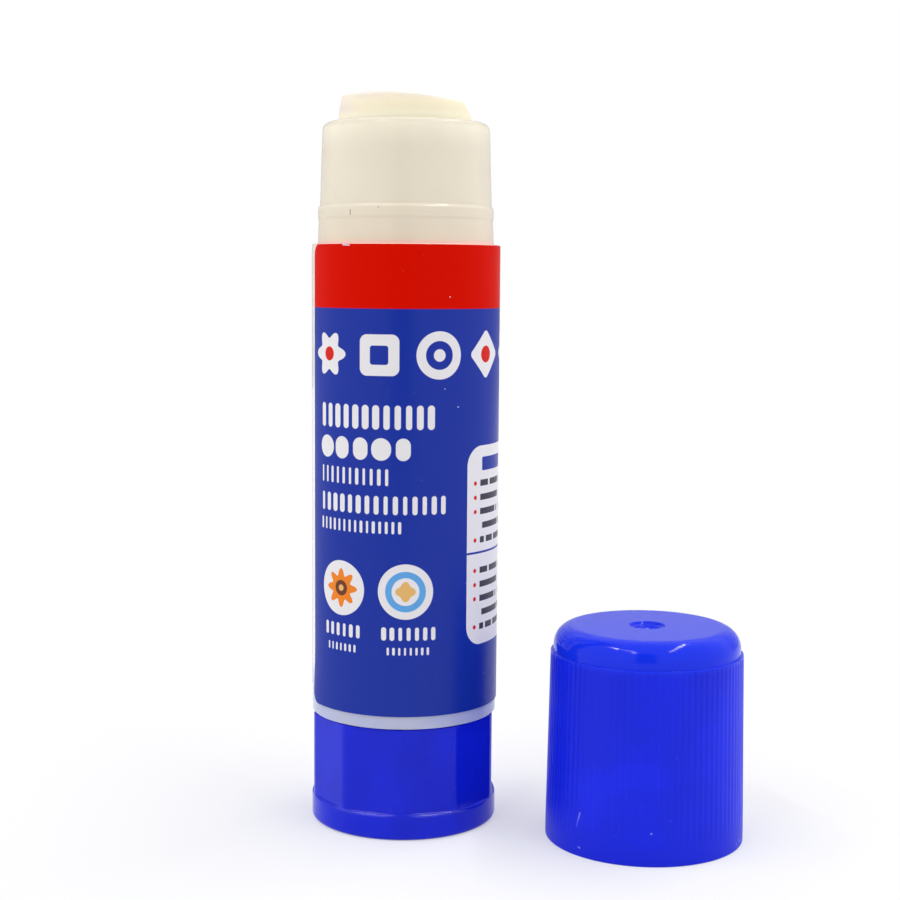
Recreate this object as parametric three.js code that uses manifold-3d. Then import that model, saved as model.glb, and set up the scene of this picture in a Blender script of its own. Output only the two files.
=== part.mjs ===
// A twist-up glue stick with its cap taken off and stood beside it.
// Millimetres, +Z up. The stick's axis is the Z axis, and its knob stands on the plane z = 0.
// Angles about an axis are measured from the front (-Y) towards the right (+X).

import * as THREE from 'three';
import { mergeVertices } from 'three/addons/utils/BufferGeometryUtils.js';
import Module from 'manifold-3d';

const wasm = await Module();
wasm.setup();

// Clearances
const RUN_GAP = 0.3; // between pieces that turn, slide or rest on each other
const PRESS_GAP = 0.1; // between the spindle's foot and its socket
const FILM_GAP = 0.02; // between the label's glue side and the barrel
const CATCH_GAP = 0.12; // between the cap's catch and the neck above its bead

// Barrel: a plain tube, and a narrower neck that takes the cap
const BARREL_RADIUS = 10.38;
const BODY_LENGTH = 52.1; // from the lower edge to the shoulder
const NECK_LENGTH = 13.2; // from the shoulder to the rim
const SHOULDER_WIDTH = 0.63; // the ring on which the cap's mouth seats
const LOWER_EDGE = 0.4; // rounding of the barrel's lower edge
const SHOULDER_EDGE = 0.15;
const NECK_DRAFT = 0.12; // how far the neck narrows below its bead
const NECK_STEP = 0.15; // how much narrower the neck is just above the bead
const NECK_TAPER = 0.25; // how far it narrows from there to the rim
const NECK_WALL = 1.23; // at the rim
const RIM_EDGE = 0.7; // rounding of the rim's outer edge
const RIM_CHAMFER = 0.15; // inside the rim
const BEAD_HEIGHT = 3.4; // of the bead's middle above the shoulder
const BEAD_WIDTH = 1.7;
const BEAD_LAND = 0.5; // the width of the bead's flat crest
const BEAD_RISE = 0.11; // over the neck below it

// Snap joint between the knob's collar and the barrel's bore
const SNAP_HEIGHT = 2.2; // of the snap groove's middle above the barrel's lower edge
const SNAP_WIDTH = 0.8; // of the collar's bead, along the axis
const SNAP_DEPTH = 0.55; // of the bead over the collar
const BORE_CHAMFER = 0.4;

// Two keys stop the carrier from turning in the bore
const KEY_COUNT = 2;
const KEY_WIDTH = 1.2;
const KEY_LENGTH = 3.0;
const KEYWAY_DEPTH = 0.65;
const KEYWAY_END = 3.2; // from the rim down to the top of each keyway

// Label: a film with rounded corners, wrapped round the barrel
const FILM_THICKNESS = 0.1;
const LABEL_TOP_MARGIN = 0.1; // bare barrel under the shoulder
const LABEL_FOOT_MARGIN = 1.4; // bare barrel above the lower edge
const LABEL_FIRST_EDGE = -74; // degrees
const LABEL_SEAM = 4.0; // bare barrel between the film's two ends, along the curve
const LABEL_CORNER = 1.3;

// Knob: ten flats cut in a cylinder, over a round flange
const KNOB_HEIGHT = 12.2;
const KNOB_OVERHANG = 0.06; // of the flange and the flats' corners over the barrel
const KNOB_FLATS = 10;
const KNOB_FIRST_CORNER = -1.5; // degrees
const KNOB_CORNER_ARC = 3.0; // degrees of the cylinder left between two flats
const KNOB_WALL = 1.2;
const KNOB_DECK = 1.5;
const FLANGE_HEIGHT = 2.9;
const FLANGE_LOWER_EDGE = 0.5;
const FLANGE_UPPER_EDGE = 0.2;
const HUB_WALL = 0.8; // between the socket's corners and the hub's side
const KNOB_RIBS = 5;
const KNOB_RIB_WIDTH = 0.8;
const KNOB_RIB_FOOT = 1.2; // of the ribs above the table
const COLLAR_WALL = 1.2;
const COLLAR_LENGTH = 4.1;

// Spindle: a left-handed screw, so that a clockwise turn seen from below raises the glue
const LEAD = 4.0;
const THREAD_CORE = 1.75;
const THREAD_CREST = 2.5;
const CREST_WIDTH = 0.8; // along the axis
const ROOT_WIDTH = 1.8;
const SPINDLE_TIP = 7.7; // below the rim
const TIP_LENGTH = 0.8;
const SHANK_RADIUS = 2.1;
const SPINDLE_DISC_RADIUS = 4.4;
const SPINDLE_DISC_HEIGHT = 1.0;
const SOCKET_ACROSS_FLATS = 4.2;
const SOCKET_DEPTH = 8.0;

// Carrier: the cup that holds the glue's foot and runs on the screw
const CARRIER_LIFT = 4.0; // how far it stands above its lowest place, with the glue out as it is
const CARRIER_FLOOR = 1.2;
const CARRIER_WALL = 0.8;
const CARRIER_HEIGHT = 8.0;
const NUT_WALL = 0.9; // outside the thread's crest
const NUT_HEIGHT = 5.0;
const FLOOR_HOLES = 4;
const FLOOR_HOLE_MARGIN = 0.5; // of floor between each hole and the nut, and the cup's wall

// Glue: a cast core with a bore for the spindle, its tip rubbed down to one side
const GLUE_SHRINKAGE = 0.35; // between the core and the bore
const GLUE_OUT = 3.0; // of its highest edge over the rim
const GLUE_TIP_NARROWING = 0.62; // of the core's radius, from the rim to the top
const GLUE_TOP_EDGE = 0.5;
const GLUE_SLOPE = 6.3; // degrees of the rubbed top, which falls to the right
const GLUE_SLOPE_START = -2.4; // where along X it starts, left of the axis
const GLUE_SHOULDER_SLOPE = 60; // degrees of the rubbed right side
const GLUE_SHOULDER_START = 2.25; // how far in from the core's side it starts, at the top's height
const GLUE_ROOF = 6.0; // glue left over the closed end of the spindle's bore

// Cap
const CAP_AT = { x: 26.7, y: -7.3 }; // its axis on the table
const CAP_HEIGHT = 23.45;
const CAP_WALL = 0.95;
const CAP_ROOF = 1.2;
const CAP_BORE_GAP = 0.12; // between the cap's bore at the mouth and the neck's foot
const CAP_TAPER = 0.35; // how far the skirt narrows from the mouth to its upper end
const DOME_HEIGHT = 2.75; // of the cap's top above the skirt's upper end
const MOUTH_BAND = 1.8; // plain band below the ribs
const MOUTH_EDGE = 0.25;
const CAP_RIBS = 92;
const CAP_RIB_DEPTH = 0.12;
const DOME_STEP = 0.29; // how far the dome stands back from the skirt
const DOME_EDGE = 2.15;
const DIMPLE_RADIUS = 2.0;
const DIMPLE_FLOOR_RADIUS = 1.55;
const DIMPLE_DEPTH = 0.5;
const GATE_RADIUS = 0.3;
const GATE_HEIGHT = 0.2;
const SEAL_WALL = 0.8;
const CATCH_DEPTH = 0.22;

// Fineness
const ROUND_SIDES = 60;
const ARC_STEPS = 3;
const THREAD_STEPS = 10; // levels in each turn of the thread
const SECTION_STEP = 36; // degrees between points of the thread's section
const OVERCUT = 1; // how far a cutting shape runs past the face that it cuts

// Places that follow from those sizes, up the stick
const barrelFoot = KNOB_HEIGHT + RUN_GAP;
const shoulder = barrelFoot + BODY_LENGTH;
const rim = shoulder + NECK_LENGTH;
const neckFootRadius = BARREL_RADIUS - SHOULDER_WIDTH;
const neckRadius = neckFootRadius - NECK_DRAFT;
const rimRadius = neckRadius - NECK_STEP - NECK_TAPER;
const boreRadius = rimRadius - NECK_WALL;

const collarRadius = boreRadius - RUN_GAP;
const collarBore = collarRadius - COLLAR_WALL;
const collarTop = KNOB_HEIGHT + COLLAR_LENGTH;
const snapMiddle = barrelFoot + SNAP_HEIGHT;

const knobRadius = BARREL_RADIUS + KNOB_OVERHANG;
const socketCorner = (SOCKET_ACROSS_FLATS / 2 + PRESS_GAP) / Math.cos(Math.PI / 6);
const hubRadius = socketCorner + HUB_WALL;

const threadFoot = collarTop;
const spindleTop = rim - SPINDLE_TIP;

const carrierFoot = collarTop + RUN_GAP + CARRIER_LIFT;
const carrierTop = carrierFoot + CARRIER_HEIGHT;
const carrierRadius = boreRadius - RUN_GAP;
const cupRadius = carrierRadius - CARRIER_WALL;
const nutRadius = THREAD_CREST + RUN_GAP + NUT_WALL;

const glueFoot = carrierFoot + CARRIER_FLOOR + RUN_GAP;
const glueRadius = boreRadius - GLUE_SHRINKAGE;
const glueTop = rim + GLUE_OUT;

const capBore = neckFootRadius + CAP_BORE_GAP;
const capRadius = capBore + CAP_WALL;
const skirtTopRadius = capRadius - CAP_TAPER;
const skirtTop = CAP_HEIGHT - DOME_HEIGHT;
const domeRadius = skirtTopRadius - DOME_STEP;

// Helpers

// Points on an arc in the (radius, height) plane, from one angle to another in degrees.
function arc(radius, height, size, from, to, steps = ARC_STEPS) {
  return Array.from({ length: steps + 1 }, (_, i) => {
    const angle = THREE.MathUtils.degToRad(from + ((to - from) * i) / steps);
    return [radius + size * Math.cos(angle), height + size * Math.sin(angle)];
  });
}

// A closed geometry as a solid, with its shared corners merged.
function solidFrom(geometry) {
  geometry.deleteAttribute('normal');
  geometry.deleteAttribute('uv');
  const merged = mergeVertices(geometry, 1e-4);
  return new wasm.Manifold(
    new wasm.Mesh({
      numProp: 3,
      vertProperties: merged.attributes.position.array,
      triVerts: new Uint32Array(merged.index.array),
    }),
  );
}

// A [radius, height] outline, counter-clockwise, turned about the Z axis.
function revolve(outline, sides = ROUND_SIDES) {
  const points = outline.map(([radius, height]) => new THREE.Vector2(radius, height));
  const onAxis = outline[0][0] === 0 && outline.at(-1)[0] === 0;
  if (!onAxis) points.push(points[0].clone());
  return solidFrom(new THREE.LatheGeometry(points, sides).rotateX(Math.PI / 2));
}

// A ring of rectangular section.
function ring(inner, outer, bottom, top, sides = ROUND_SIDES) {
  return revolve([[inner, bottom], [outer, bottom], [outer, top], [inner, top]], sides);
}

// A round rod along Z.
function rod(radius, bottom, top, sides = ROUND_SIDES) {
  return revolve([[0, bottom], [radius, bottom], [radius, top], [0, top]], sides);
}

// A box that stands out from the axis towards an angle in degrees.
function spoke(near, far, width, bottom, top, angle) {
  const box = new THREE.BoxGeometry(width, far - near, top - bottom);
  box.translate(0, -(near + far) / 2, (bottom + top) / 2);
  return solidFrom(box.rotateZ(THREE.MathUtils.degToRad(angle)));
}

// A closed [x, y] outline, extruded along Z.
function prism(outline, bottom, top) {
  const shape = new THREE.Shape(outline.map(([x, y]) => new THREE.Vector2(x, y)));
  const body = new THREE.ExtrudeGeometry(shape, { depth: top - bottom, bevelEnabled: false });
  return solidFrom(body.translate(0, 0, bottom));
}

// The point at a radius and at an angle in degrees from the front.
function polar(radius, degrees) {
  const angle = THREE.MathUtils.degToRad(degrees);
  return [radius * Math.sin(angle), -radius * Math.cos(angle)];
}

// A solid through rings of points that all have the same count, closed by a flat fan at each end.
// Each ring is a list of [x, y, z] that goes round counter-clockwise seen from above.
function loft(rings) {
  const count = rings[0].length;
  const positions = rings.flat(2);
  const triangles = [];
  for (let level = 0; level < rings.length - 1; level++) {
    for (let i = 0; i < count; i++) {
      const a = level * count + i;
      const b = level * count + ((i + 1) % count);
      triangles.push(a, b, b + count, a, b + count, a + count);
    }
  }
  const ends = [rings[0], rings.at(-1)];
  const [bottom, top] = ends.map((points, end) => {
    const middle = [0, 1, 2].map((k) => points.reduce((sum, p) => sum + p[k], 0) / count);
    positions.push(...middle);
    return rings.length * count + end;
  });
  const last = (rings.length - 1) * count;
  for (let i = 0; i < count; i++) {
    const next = (i + 1) % count;
    triangles.push(bottom, next, i, top, last + i, last + next);
  }
  const geometry = new THREE.BufferGeometry();
  geometry.setAttribute('position', new THREE.Float32BufferAttribute(positions, 3));
  geometry.setIndex(triangles);
  return solidFrom(geometry);
}

// A named mesh from a solid.
function piece(name, solid, color, roughness) {
  const { vertProperties, triVerts } = solid.getMesh();
  const indexed = new THREE.BufferGeometry();
  indexed.setAttribute('position', new THREE.BufferAttribute(new Float32Array(vertProperties), 3));
  indexed.setIndex(new THREE.BufferAttribute(new Uint32Array(triVerts), 1));
  const geometry = indexed.toNonIndexed();
  geometry.computeVertexNormals();
  const material = new THREE.MeshStandardMaterial({ color, roughness, metalness: 0 });
  const mesh = new THREE.Mesh(geometry, material);
  mesh.name = name;
  return mesh;
}

// [angle, radius] points on a circle, from one angle to another, close enough for a round look.
function turnBetween(radius, from, to) {
  const steps = Math.ceil((to - from) / SECTION_STEP);
  return Array.from({ length: steps + 1 }, (_, i) => [from + ((to - from) * i) / steps, radius]);
}

// The screw's solid: one section, a round core with one tooth, that turns as it climbs.
// A gap makes it wider all round, as the tool that cuts the nut.
function screw(bottom, top, gap = 0) {
  const degreesPerMm = 360 / LEAD;
  const core = THREAD_CORE + gap;
  const crest = THREAD_CREST + gap;
  const crestHalf = (CREST_WIDTH / 2 + gap) * degreesPerMm;
  const rootHalf = (ROOT_WIDTH / 2 + gap) * degreesPerMm;
  const section = [
    ...turnBetween(crest, -crestHalf, crestHalf),
    ...turnBetween(core, rootHalf, 360 - rootHalf),
  ];
  const steps = Math.ceil(((top - bottom) / LEAD) * THREAD_STEPS);
  const rings = Array.from({ length: steps + 1 }, (_, i) => {
    const height = bottom + ((top - bottom) * i) / steps;
    const turned = -height * degreesPerMm;
    return section.map(([angle, radius]) => [...polar(radius, angle + turned), height]);
  });
  return loft(rings);
}

// The barrel

function makeBarrel() {
  const beadMiddle = shoulder + BEAD_HEIGHT;
  const beadRadius = neckRadius + BEAD_RISE;
  const snapRadius = boreRadius + SNAP_DEPTH;
  const snapHalf = SNAP_WIDTH / 2 + RUN_GAP;
  const tube = revolve([
    [boreRadius + BORE_CHAMFER, barrelFoot],
    ...arc(BARREL_RADIUS - LOWER_EDGE, barrelFoot + LOWER_EDGE, LOWER_EDGE, -90, 0),
    ...arc(BARREL_RADIUS - SHOULDER_EDGE, shoulder - SHOULDER_EDGE, SHOULDER_EDGE, 0, 90, 2),
    [neckFootRadius, shoulder],
    [neckRadius, beadMiddle - BEAD_WIDTH / 2],
    [beadRadius, beadMiddle - BEAD_LAND / 2],
    [beadRadius, beadMiddle + BEAD_LAND / 2],
    [neckRadius - NECK_STEP, beadMiddle + BEAD_WIDTH / 2],
    ...arc(rimRadius - RIM_EDGE, rim - RIM_EDGE, RIM_EDGE, 0, 90),
    [boreRadius + RIM_CHAMFER, rim],
    [boreRadius, rim - RIM_CHAMFER],
    [boreRadius, snapMiddle + snapHalf],
    [snapRadius, snapMiddle + snapHalf],
    [snapRadius, snapMiddle - snapHalf],
    [boreRadius, snapMiddle - snapHalf],
    [boreRadius, barrelFoot + BORE_CHAMFER],
  ]);
  const keyways = keyAngles().map((angle) =>
    spoke(boreRadius / 2, boreRadius + KEYWAY_DEPTH, KEY_WIDTH + 2 * RUN_GAP,
      barrelFoot - OVERCUT, rim - KEYWAY_END, angle));
  return keyways.reduce((body, keyway) => body.subtract(keyway), tube);
}

// The angles of the carrier's keys and of the barrel's keyways.
function keyAngles() {
  return Array.from({ length: KEY_COUNT }, (_, i) => 90 + (360 * i) / KEY_COUNT);
}

// The label

function makeLabel() {
  const inner = BARREL_RADIUS + FILM_GAP;
  const outer = inner + FILM_THICKNESS;
  const bottom = barrelFoot + LABEL_FOOT_MARGIN;
  const top = shoulder - LABEL_TOP_MARGIN;
  const degreesPerMm = 180 / (Math.PI * outer);
  const length = 360 / degreesPerMm - LABEL_SEAM;
  const plain = Math.round((ROUND_SIDES * length * degreesPerMm) / 360);
  // Distances along the film: close together round each corner, then one per side of the barrel
  const corner = arc(LABEL_CORNER, 0, LABEL_CORNER, 180, 90, ARC_STEPS).map(([along]) => along);
  const straight = Array.from({ length: plain - 1 }, (_, i) =>
    LABEL_CORNER + ((length - 2 * LABEL_CORNER) * (i + 1)) / plain);
  const stations = [...corner, ...straight, ...corner.map((along) => length - along).reverse()];
  const columns = stations.map((along) => {
    const fromEnd = Math.max(0, LABEL_CORNER - Math.min(along, length - along));
    const cut = LABEL_CORNER - Math.sqrt(LABEL_CORNER ** 2 - fromEnd ** 2);
    const angle = LABEL_FIRST_EDGE + along * degreesPerMm;
    return [
      [...polar(outer, angle), bottom + cut],
      [...polar(inner, angle), bottom + cut],
      [...polar(inner, angle), top - cut],
      [...polar(outer, angle), top - cut],
    ];
  });
  return loft(columns);
}

// The knob

function makeKnob() {
  const flatRadius = knobRadius * Math.cos(Math.PI / KNOB_FLATS);
  const pocketRadius = flatRadius - KNOB_WALL;
  const deckFoot = KNOB_HEIGHT - KNOB_DECK;
  const corners = Array.from({ length: KNOB_FLATS }, (_, i) =>
    KNOB_FIRST_CORNER + (360 * i) / KNOB_FLATS);
  const outline = corners.flatMap((angle) =>
    [-0.5, 0, 0.5].map((side) => polar(knobRadius, angle + side * KNOB_CORNER_ARC)));
  const grip = prism(outline, FLANGE_HEIGHT / 2, KNOB_HEIGHT);
  const upperEdgeFoot = FLANGE_HEIGHT - FLANGE_UPPER_EDGE;
  const flange = revolve([
    [0, 0],
    ...arc(knobRadius - FLANGE_LOWER_EDGE, FLANGE_LOWER_EDGE, FLANGE_LOWER_EDGE, -90, 0),
    ...arc(knobRadius - FLANGE_UPPER_EDGE, upperEdgeFoot, FLANGE_UPPER_EDGE, 0, 90, 2),
    [0, FLANGE_HEIGHT],
  ]);
  const pocket = ring(hubRadius, pocketRadius, -OVERCUT, deckFoot);
  const ribs = Array.from({ length: KNOB_RIBS }, (_, i) =>
    spoke(hubRadius / 2, pocketRadius + KNOB_WALL / 2, KNOB_RIB_WIDTH, KNOB_RIB_FOOT,
      deckFoot + KNOB_DECK / 2, KNOB_FIRST_CORNER + (360 * i) / KNOB_RIBS));
  const socketFoot = KNOB_HEIGHT - SOCKET_DEPTH;
  const socket = hexagon(SOCKET_ACROSS_FLATS / 2 + PRESS_GAP, socketFoot, KNOB_HEIGHT + OVERCUT);
  const shell = grip.add(flange).subtract(pocket);
  return ribs.reduce((body, rib) => body.add(rib), shell).subtract(socket).add(makeCollar());
}

// The tube on the knob's deck that snaps into the barrel's bore.
function makeCollar() {
  const half = SNAP_WIDTH / 2;
  const beadRadius = collarRadius + SNAP_DEPTH;
  return revolve([
    [collarBore, KNOB_HEIGHT - KNOB_DECK / 2],
    [collarRadius, KNOB_HEIGHT - KNOB_DECK / 2],
    [collarRadius, snapMiddle - half],
    [beadRadius, snapMiddle - half],
    [beadRadius, snapMiddle],
    [collarRadius, snapMiddle + half],
    [collarRadius, collarTop],
    [collarBore, collarTop],
  ]);
}

// A hexagonal bar along Z, from the distance between its axis and a flat.
function hexagon(flat, bottom, top) {
  const corner = flat / Math.cos(Math.PI / 6);
  const outline = Array.from({ length: 6 }, (_, i) => polar(corner, 60 * i));
  return prism(outline, bottom, top);
}

// The spindle

function makeSpindle() {
  const discFoot = KNOB_HEIGHT + PRESS_GAP;
  const discTop = discFoot + SPINDLE_DISC_HEIGHT;
  const foot = hexagon(SOCKET_ACROSS_FLATS / 2, KNOB_HEIGHT - SOCKET_DEPTH + PRESS_GAP, discTop);
  const disc = rod(SPINDLE_DISC_RADIUS, discFoot, discTop, ROUND_SIDES / 2);
  const shank = rod(SHANK_RADIUS, discFoot, threadFoot + PRESS_GAP, ROUND_SIDES / 3);
  const threadTop = spindleTop - TIP_LENGTH;
  const tip = revolve([
    [0, threadTop - TIP_LENGTH],
    [THREAD_CORE, threadTop - TIP_LENGTH],
    [THREAD_CORE, threadTop],
    [THREAD_CORE / 2, spindleTop],
    [0, spindleTop],
  ], ROUND_SIDES / 3);
  return foot.add(disc).add(shank).add(screw(threadFoot, threadTop)).add(tip);
}

// The carrier

function makeCarrier() {
  const floorTop = carrierFoot + CARRIER_FLOOR;
  const cup = revolve([
    [0, carrierFoot],
    [carrierRadius, carrierFoot],
    [carrierRadius, carrierTop],
    [cupRadius, carrierTop],
    [cupRadius, floorTop],
    [0, floorTop],
  ]);
  const nut = rod(nutRadius, carrierFoot, carrierFoot + NUT_HEIGHT, ROUND_SIDES / 2);
  const keys = keyAngles().map((angle) =>
    spoke(cupRadius + CARRIER_WALL / 2, boreRadius + KEYWAY_DEPTH - RUN_GAP, KEY_WIDTH,
      carrierFoot, carrierFoot + KEY_LENGTH, angle));
  const holeRing = (cupRadius + nutRadius) / 2;
  const holeRadius = (cupRadius - nutRadius) / 2 - FLOOR_HOLE_MARGIN;
  const holes = Array.from({ length: FLOOR_HOLES }, (_, i) => {
    const [x, y] = polar(holeRing, (360 * (i + 0.5)) / FLOOR_HOLES);
    const hole = rod(holeRadius, carrierFoot - OVERCUT, floorTop + OVERCUT, ROUND_SIDES / 4);
    return hole.translate([x, y, 0]);
  });
  const body = keys.reduce((joined, key) => joined.add(key), cup.add(nut));
  const cutter = screw(carrierFoot - OVERCUT, carrierFoot + NUT_HEIGHT + OVERCUT, RUN_GAP);
  return holes.reduce((left, hole) => left.subtract(hole), body).subtract(cutter);
}

// The glue

function makeGlue() {
  const footRadius = cupRadius - RUN_GAP;
  const tipRadius = glueRadius - GLUE_TIP_NARROWING;
  const core = revolve([
    [0, glueFoot],
    [footRadius, glueFoot],
    [footRadius, carrierTop + RUN_GAP],
    [glueRadius, carrierTop + RUN_GAP],
    [glueRadius, rim - RIM_EDGE],
    ...arc(tipRadius - GLUE_TOP_EDGE, glueTop - GLUE_TOP_EDGE, GLUE_TOP_EDGE, 0, 90, 3),
    [0, glueTop],
  ]);
  const toolFoot = glueFoot - OVERCUT;
  const nutTop = carrierFoot + NUT_HEIGHT;
  const nutRoom = rod(nutRadius + RUN_GAP, toolFoot, nutTop + RUN_GAP, ROUND_SIDES / 2);
  const spindleRoom = rod(THREAD_CREST + RUN_GAP, toolFoot, glueTop - GLUE_ROOF, ROUND_SIDES / 3);
  const top = rubbedAway(GLUE_SLOPE_START, GLUE_SLOPE);
  const shoulderSide = rubbedAway(glueRadius - GLUE_SHOULDER_START, GLUE_SHOULDER_SLOPE);
  return core.subtract(nutRoom).subtract(spindleRoom).subtract(top).subtract(shoulderSide);
}

// What is rubbed off above a slope that starts at a place along X and falls to the right.
function rubbedAway(start, degrees) {
  const size = 4 * glueRadius;
  const block = new THREE.BoxGeometry(size, size, size).translate(size / 2, 0, size / 2);
  block.rotateY(THREE.MathUtils.degToRad(degrees));
  return solidFrom(block.translate(start, 0, glueTop));
}

// The cap, made about its own axis

function makeCap() {
  const roofFoot = CAP_HEIGHT - CAP_ROOF;
  const innerEdge = DOME_EDGE - CAP_ROOF;
  const catchMiddle = BEAD_HEIGHT + BEAD_WIDTH / 2 + CATCH_DEPTH;
  const catchRadius = neckRadius - NECK_STEP + CATCH_GAP;
  const dome = revolve([
    [0, skirtTop - CAP_WALL],
    [domeRadius, skirtTop - CAP_WALL],
    ...arc(domeRadius - DOME_EDGE, CAP_HEIGHT - DOME_EDGE, DOME_EDGE, 0, 90, 6),
    [0, CAP_HEIGHT],
  ]);
  const mouth = revolve([
    [0, 0],
    [capRadius - MOUTH_EDGE, 0],
    [capRadius, MOUTH_EDGE],
    [capRadius, MOUTH_BAND],
    [0, MOUTH_BAND],
  ]);
  const hollow = revolve([
    [0, -OVERCUT],
    [capBore + CAP_BORE_GAP, -OVERCUT],
    [capBore + CAP_BORE_GAP, MOUTH_EDGE],
    [capBore, 2 * MOUTH_EDGE],
    [capBore, catchMiddle - 2 * CATCH_DEPTH],
    [catchRadius, catchMiddle - CATCH_DEPTH],
    [catchRadius, catchMiddle + CATCH_DEPTH],
    [catchRadius + CATCH_DEPTH, catchMiddle + 2 * CATCH_DEPTH],
    [skirtTopRadius - CAP_WALL, skirtTop - CAP_WALL],
    ...arc(domeRadius - CAP_WALL - innerEdge, roofFoot - innerEdge, innerEdge, 0, 90),
    [0, roofFoot],
  ]);
  const dimple = revolve([
    [0, CAP_HEIGHT - DIMPLE_DEPTH],
    [DIMPLE_FLOOR_RADIUS, CAP_HEIGHT - DIMPLE_DEPTH],
    [DIMPLE_RADIUS, CAP_HEIGHT],
    [DIMPLE_RADIUS, CAP_HEIGHT + OVERCUT],
    [0, CAP_HEIGHT + OVERCUT],
  ], ROUND_SIDES / 2);
  const gate = rod(GATE_RADIUS, roofFoot, CAP_HEIGHT - DIMPLE_DEPTH + GATE_HEIGHT, ROUND_SIDES / 6);
  // The seal ring meets the rim's flat top when the cap is on
  const seal = ring(boreRadius, boreRadius + SEAL_WALL, NECK_LENGTH + RUN_GAP, roofFoot + CAP_ROOF / 2);
  return dome.add(mouth).add(ribbedSkirt()).subtract(hollow).add(seal).subtract(dimple).add(gate);
}

// The outer part of the skirt: a tapered cylinder with a rib and a valley in each pitch.
function ribbedSkirt() {
  const pitch = 360 / CAP_RIBS;
  const levels = [[MOUTH_BAND, capRadius], [skirtTop, skirtTopRadius]];
  return loft(levels.map(([height, crest]) =>
    Array.from({ length: 2 * CAP_RIBS }, (_, i) => {
      const radius = i % 2 ? crest - CAP_RIB_DEPTH : crest;
      return [...polar(radius, (i * pitch) / 2), height];
    })));
}

// The whole stick

const blue = 0x2832d2;
const stick = new THREE.Group();
stick.add(piece('barrel', makeBarrel(), 0xe4dcc8, 0.4));
stick.add(piece('label', makeLabel(), 0x2535a0, 0.35));
stick.add(piece('knob', makeKnob(), blue, 0.3));
stick.add(piece('spindle', makeSpindle(), 0xf0eee8, 0.4));
stick.add(piece('carrier', makeCarrier(), 0xf0eee8, 0.4));
stick.add(piece('glue', makeGlue(), 0xf5ebcd, 0.5));

const cap = piece('cap', makeCap(), blue, 0.3);
cap.position.set(CAP_AT.x, CAP_AT.y, 0);
stick.add(cap);

export default stick;
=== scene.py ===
"""The looks of a twist-up glue stick with its cap off, built round its CAD frame.

Lengths are in metres. Angles about an axis are measured from the front (-Y) towards the right (+X).
A profile is rows of [radius, height], in one column or in one for each angle. A grid is an array of
points, rows by columns: rows follow a profile and columns go round the axis.
"""

import math

import bpy
import numpy as np
from bpy.props import FloatProperty, FloatVectorProperty, IntProperty, PointerProperty
from mathutils import Euler, Matrix, Vector


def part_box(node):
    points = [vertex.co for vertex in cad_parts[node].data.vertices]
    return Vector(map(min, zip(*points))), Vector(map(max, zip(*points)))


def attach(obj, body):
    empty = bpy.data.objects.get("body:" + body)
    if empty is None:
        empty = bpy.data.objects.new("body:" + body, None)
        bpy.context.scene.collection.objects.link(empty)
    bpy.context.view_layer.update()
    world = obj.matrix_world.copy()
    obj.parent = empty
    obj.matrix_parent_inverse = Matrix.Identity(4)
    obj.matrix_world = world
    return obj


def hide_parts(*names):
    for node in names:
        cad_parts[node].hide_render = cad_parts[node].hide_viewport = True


bl_info = {
    "name": "Glue Stick",
    "version": (1, 0, 0),
    "blender": (4, 5, 0),
    "location": "View3D > Sidebar > Glue Stick",
    "description": "Builds the pieces, finishes and stage of a twist-up glue stick",
    "category": "Add Mesh",
}

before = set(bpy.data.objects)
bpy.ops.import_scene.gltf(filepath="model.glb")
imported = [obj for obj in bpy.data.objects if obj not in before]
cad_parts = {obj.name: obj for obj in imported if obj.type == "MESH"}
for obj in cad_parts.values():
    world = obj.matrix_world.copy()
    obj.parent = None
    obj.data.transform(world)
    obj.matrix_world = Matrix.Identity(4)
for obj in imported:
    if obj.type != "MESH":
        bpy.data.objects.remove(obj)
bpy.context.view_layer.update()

MM = 0.001
TURN = 2 * math.pi

# Places read from the frame
BARREL_LOW, BARREL_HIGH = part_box("barrel")
LABEL_LOW, LABEL_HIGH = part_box("label")
KNOB_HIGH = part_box("knob")[1]
SPINDLE_LOW, SPINDLE_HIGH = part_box("spindle")
CARRIER_LOW, CARRIER_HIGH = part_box("carrier")
GLUE_LOW, GLUE_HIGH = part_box("glue")
CAP_LOW, CAP_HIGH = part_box("cap")

RUN_GAP = 0.3 * MM
PRESS_GAP = 0.1 * MM
LABEL_TOP_MARGIN = 0.1 * MM

BARREL_FOOT = BARREL_LOW.z
RIM = BARREL_HIGH.z
SHOULDER = LABEL_HIGH.z + LABEL_TOP_MARGIN
BARREL_RADIUS = BARREL_HIGH.x
DECK = BARREL_FOOT - RUN_GAP
DECK_RISE = 0.1 * MM
KNOB_RADIUS = KNOB_HIGH.x
COLLAR_TOP = KNOB_HIGH.z

# Roundings of edges that have no size of their own
PLAIN_EDGE = 0.2 * MM
FINE_EDGE = 0.15 * MM
HEXAGON_EDGE = 0.1 * MM

# Barrel
BARREL_COLUMNS = 240
SHOULDER_WIDTH = 0.63 * MM
FOOT_DROP = 0.12 * MM
NECK_DRAFT = 0.12 * MM
NECK_STEP = 0.15 * MM
NECK_TAPER = 0.25 * MM
NECK_WALL = 1.23 * MM
BEAD_HEIGHT = 3.4 * MM
BEAD_HALF = 0.85 * MM
BEAD_LAND_HALF = 0.45 * MM
BORE_CHAMFER = 0.4 * MM
SNAP_HEIGHT = 2.2 * MM
SNAP_HALF = 0.4 * MM
SNAP_DEPTH = 0.55 * MM
KEY_HALF = 0.6 * MM
KEYWAY_DEPTH = 0.65 * MM
KEYWAY_END = 3.2 * MM
KEY_ANGLES = (TURN / 4, 3 * TURN / 4)
SNAP_MIDDLE = BARREL_FOOT + SNAP_HEIGHT
NECK_FOOT = BARREL_RADIUS - SHOULDER_WIDTH
NECK = NECK_FOOT - NECK_DRAFT
RIM_RADIUS = NECK - NECK_STEP - NECK_TAPER
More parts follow.
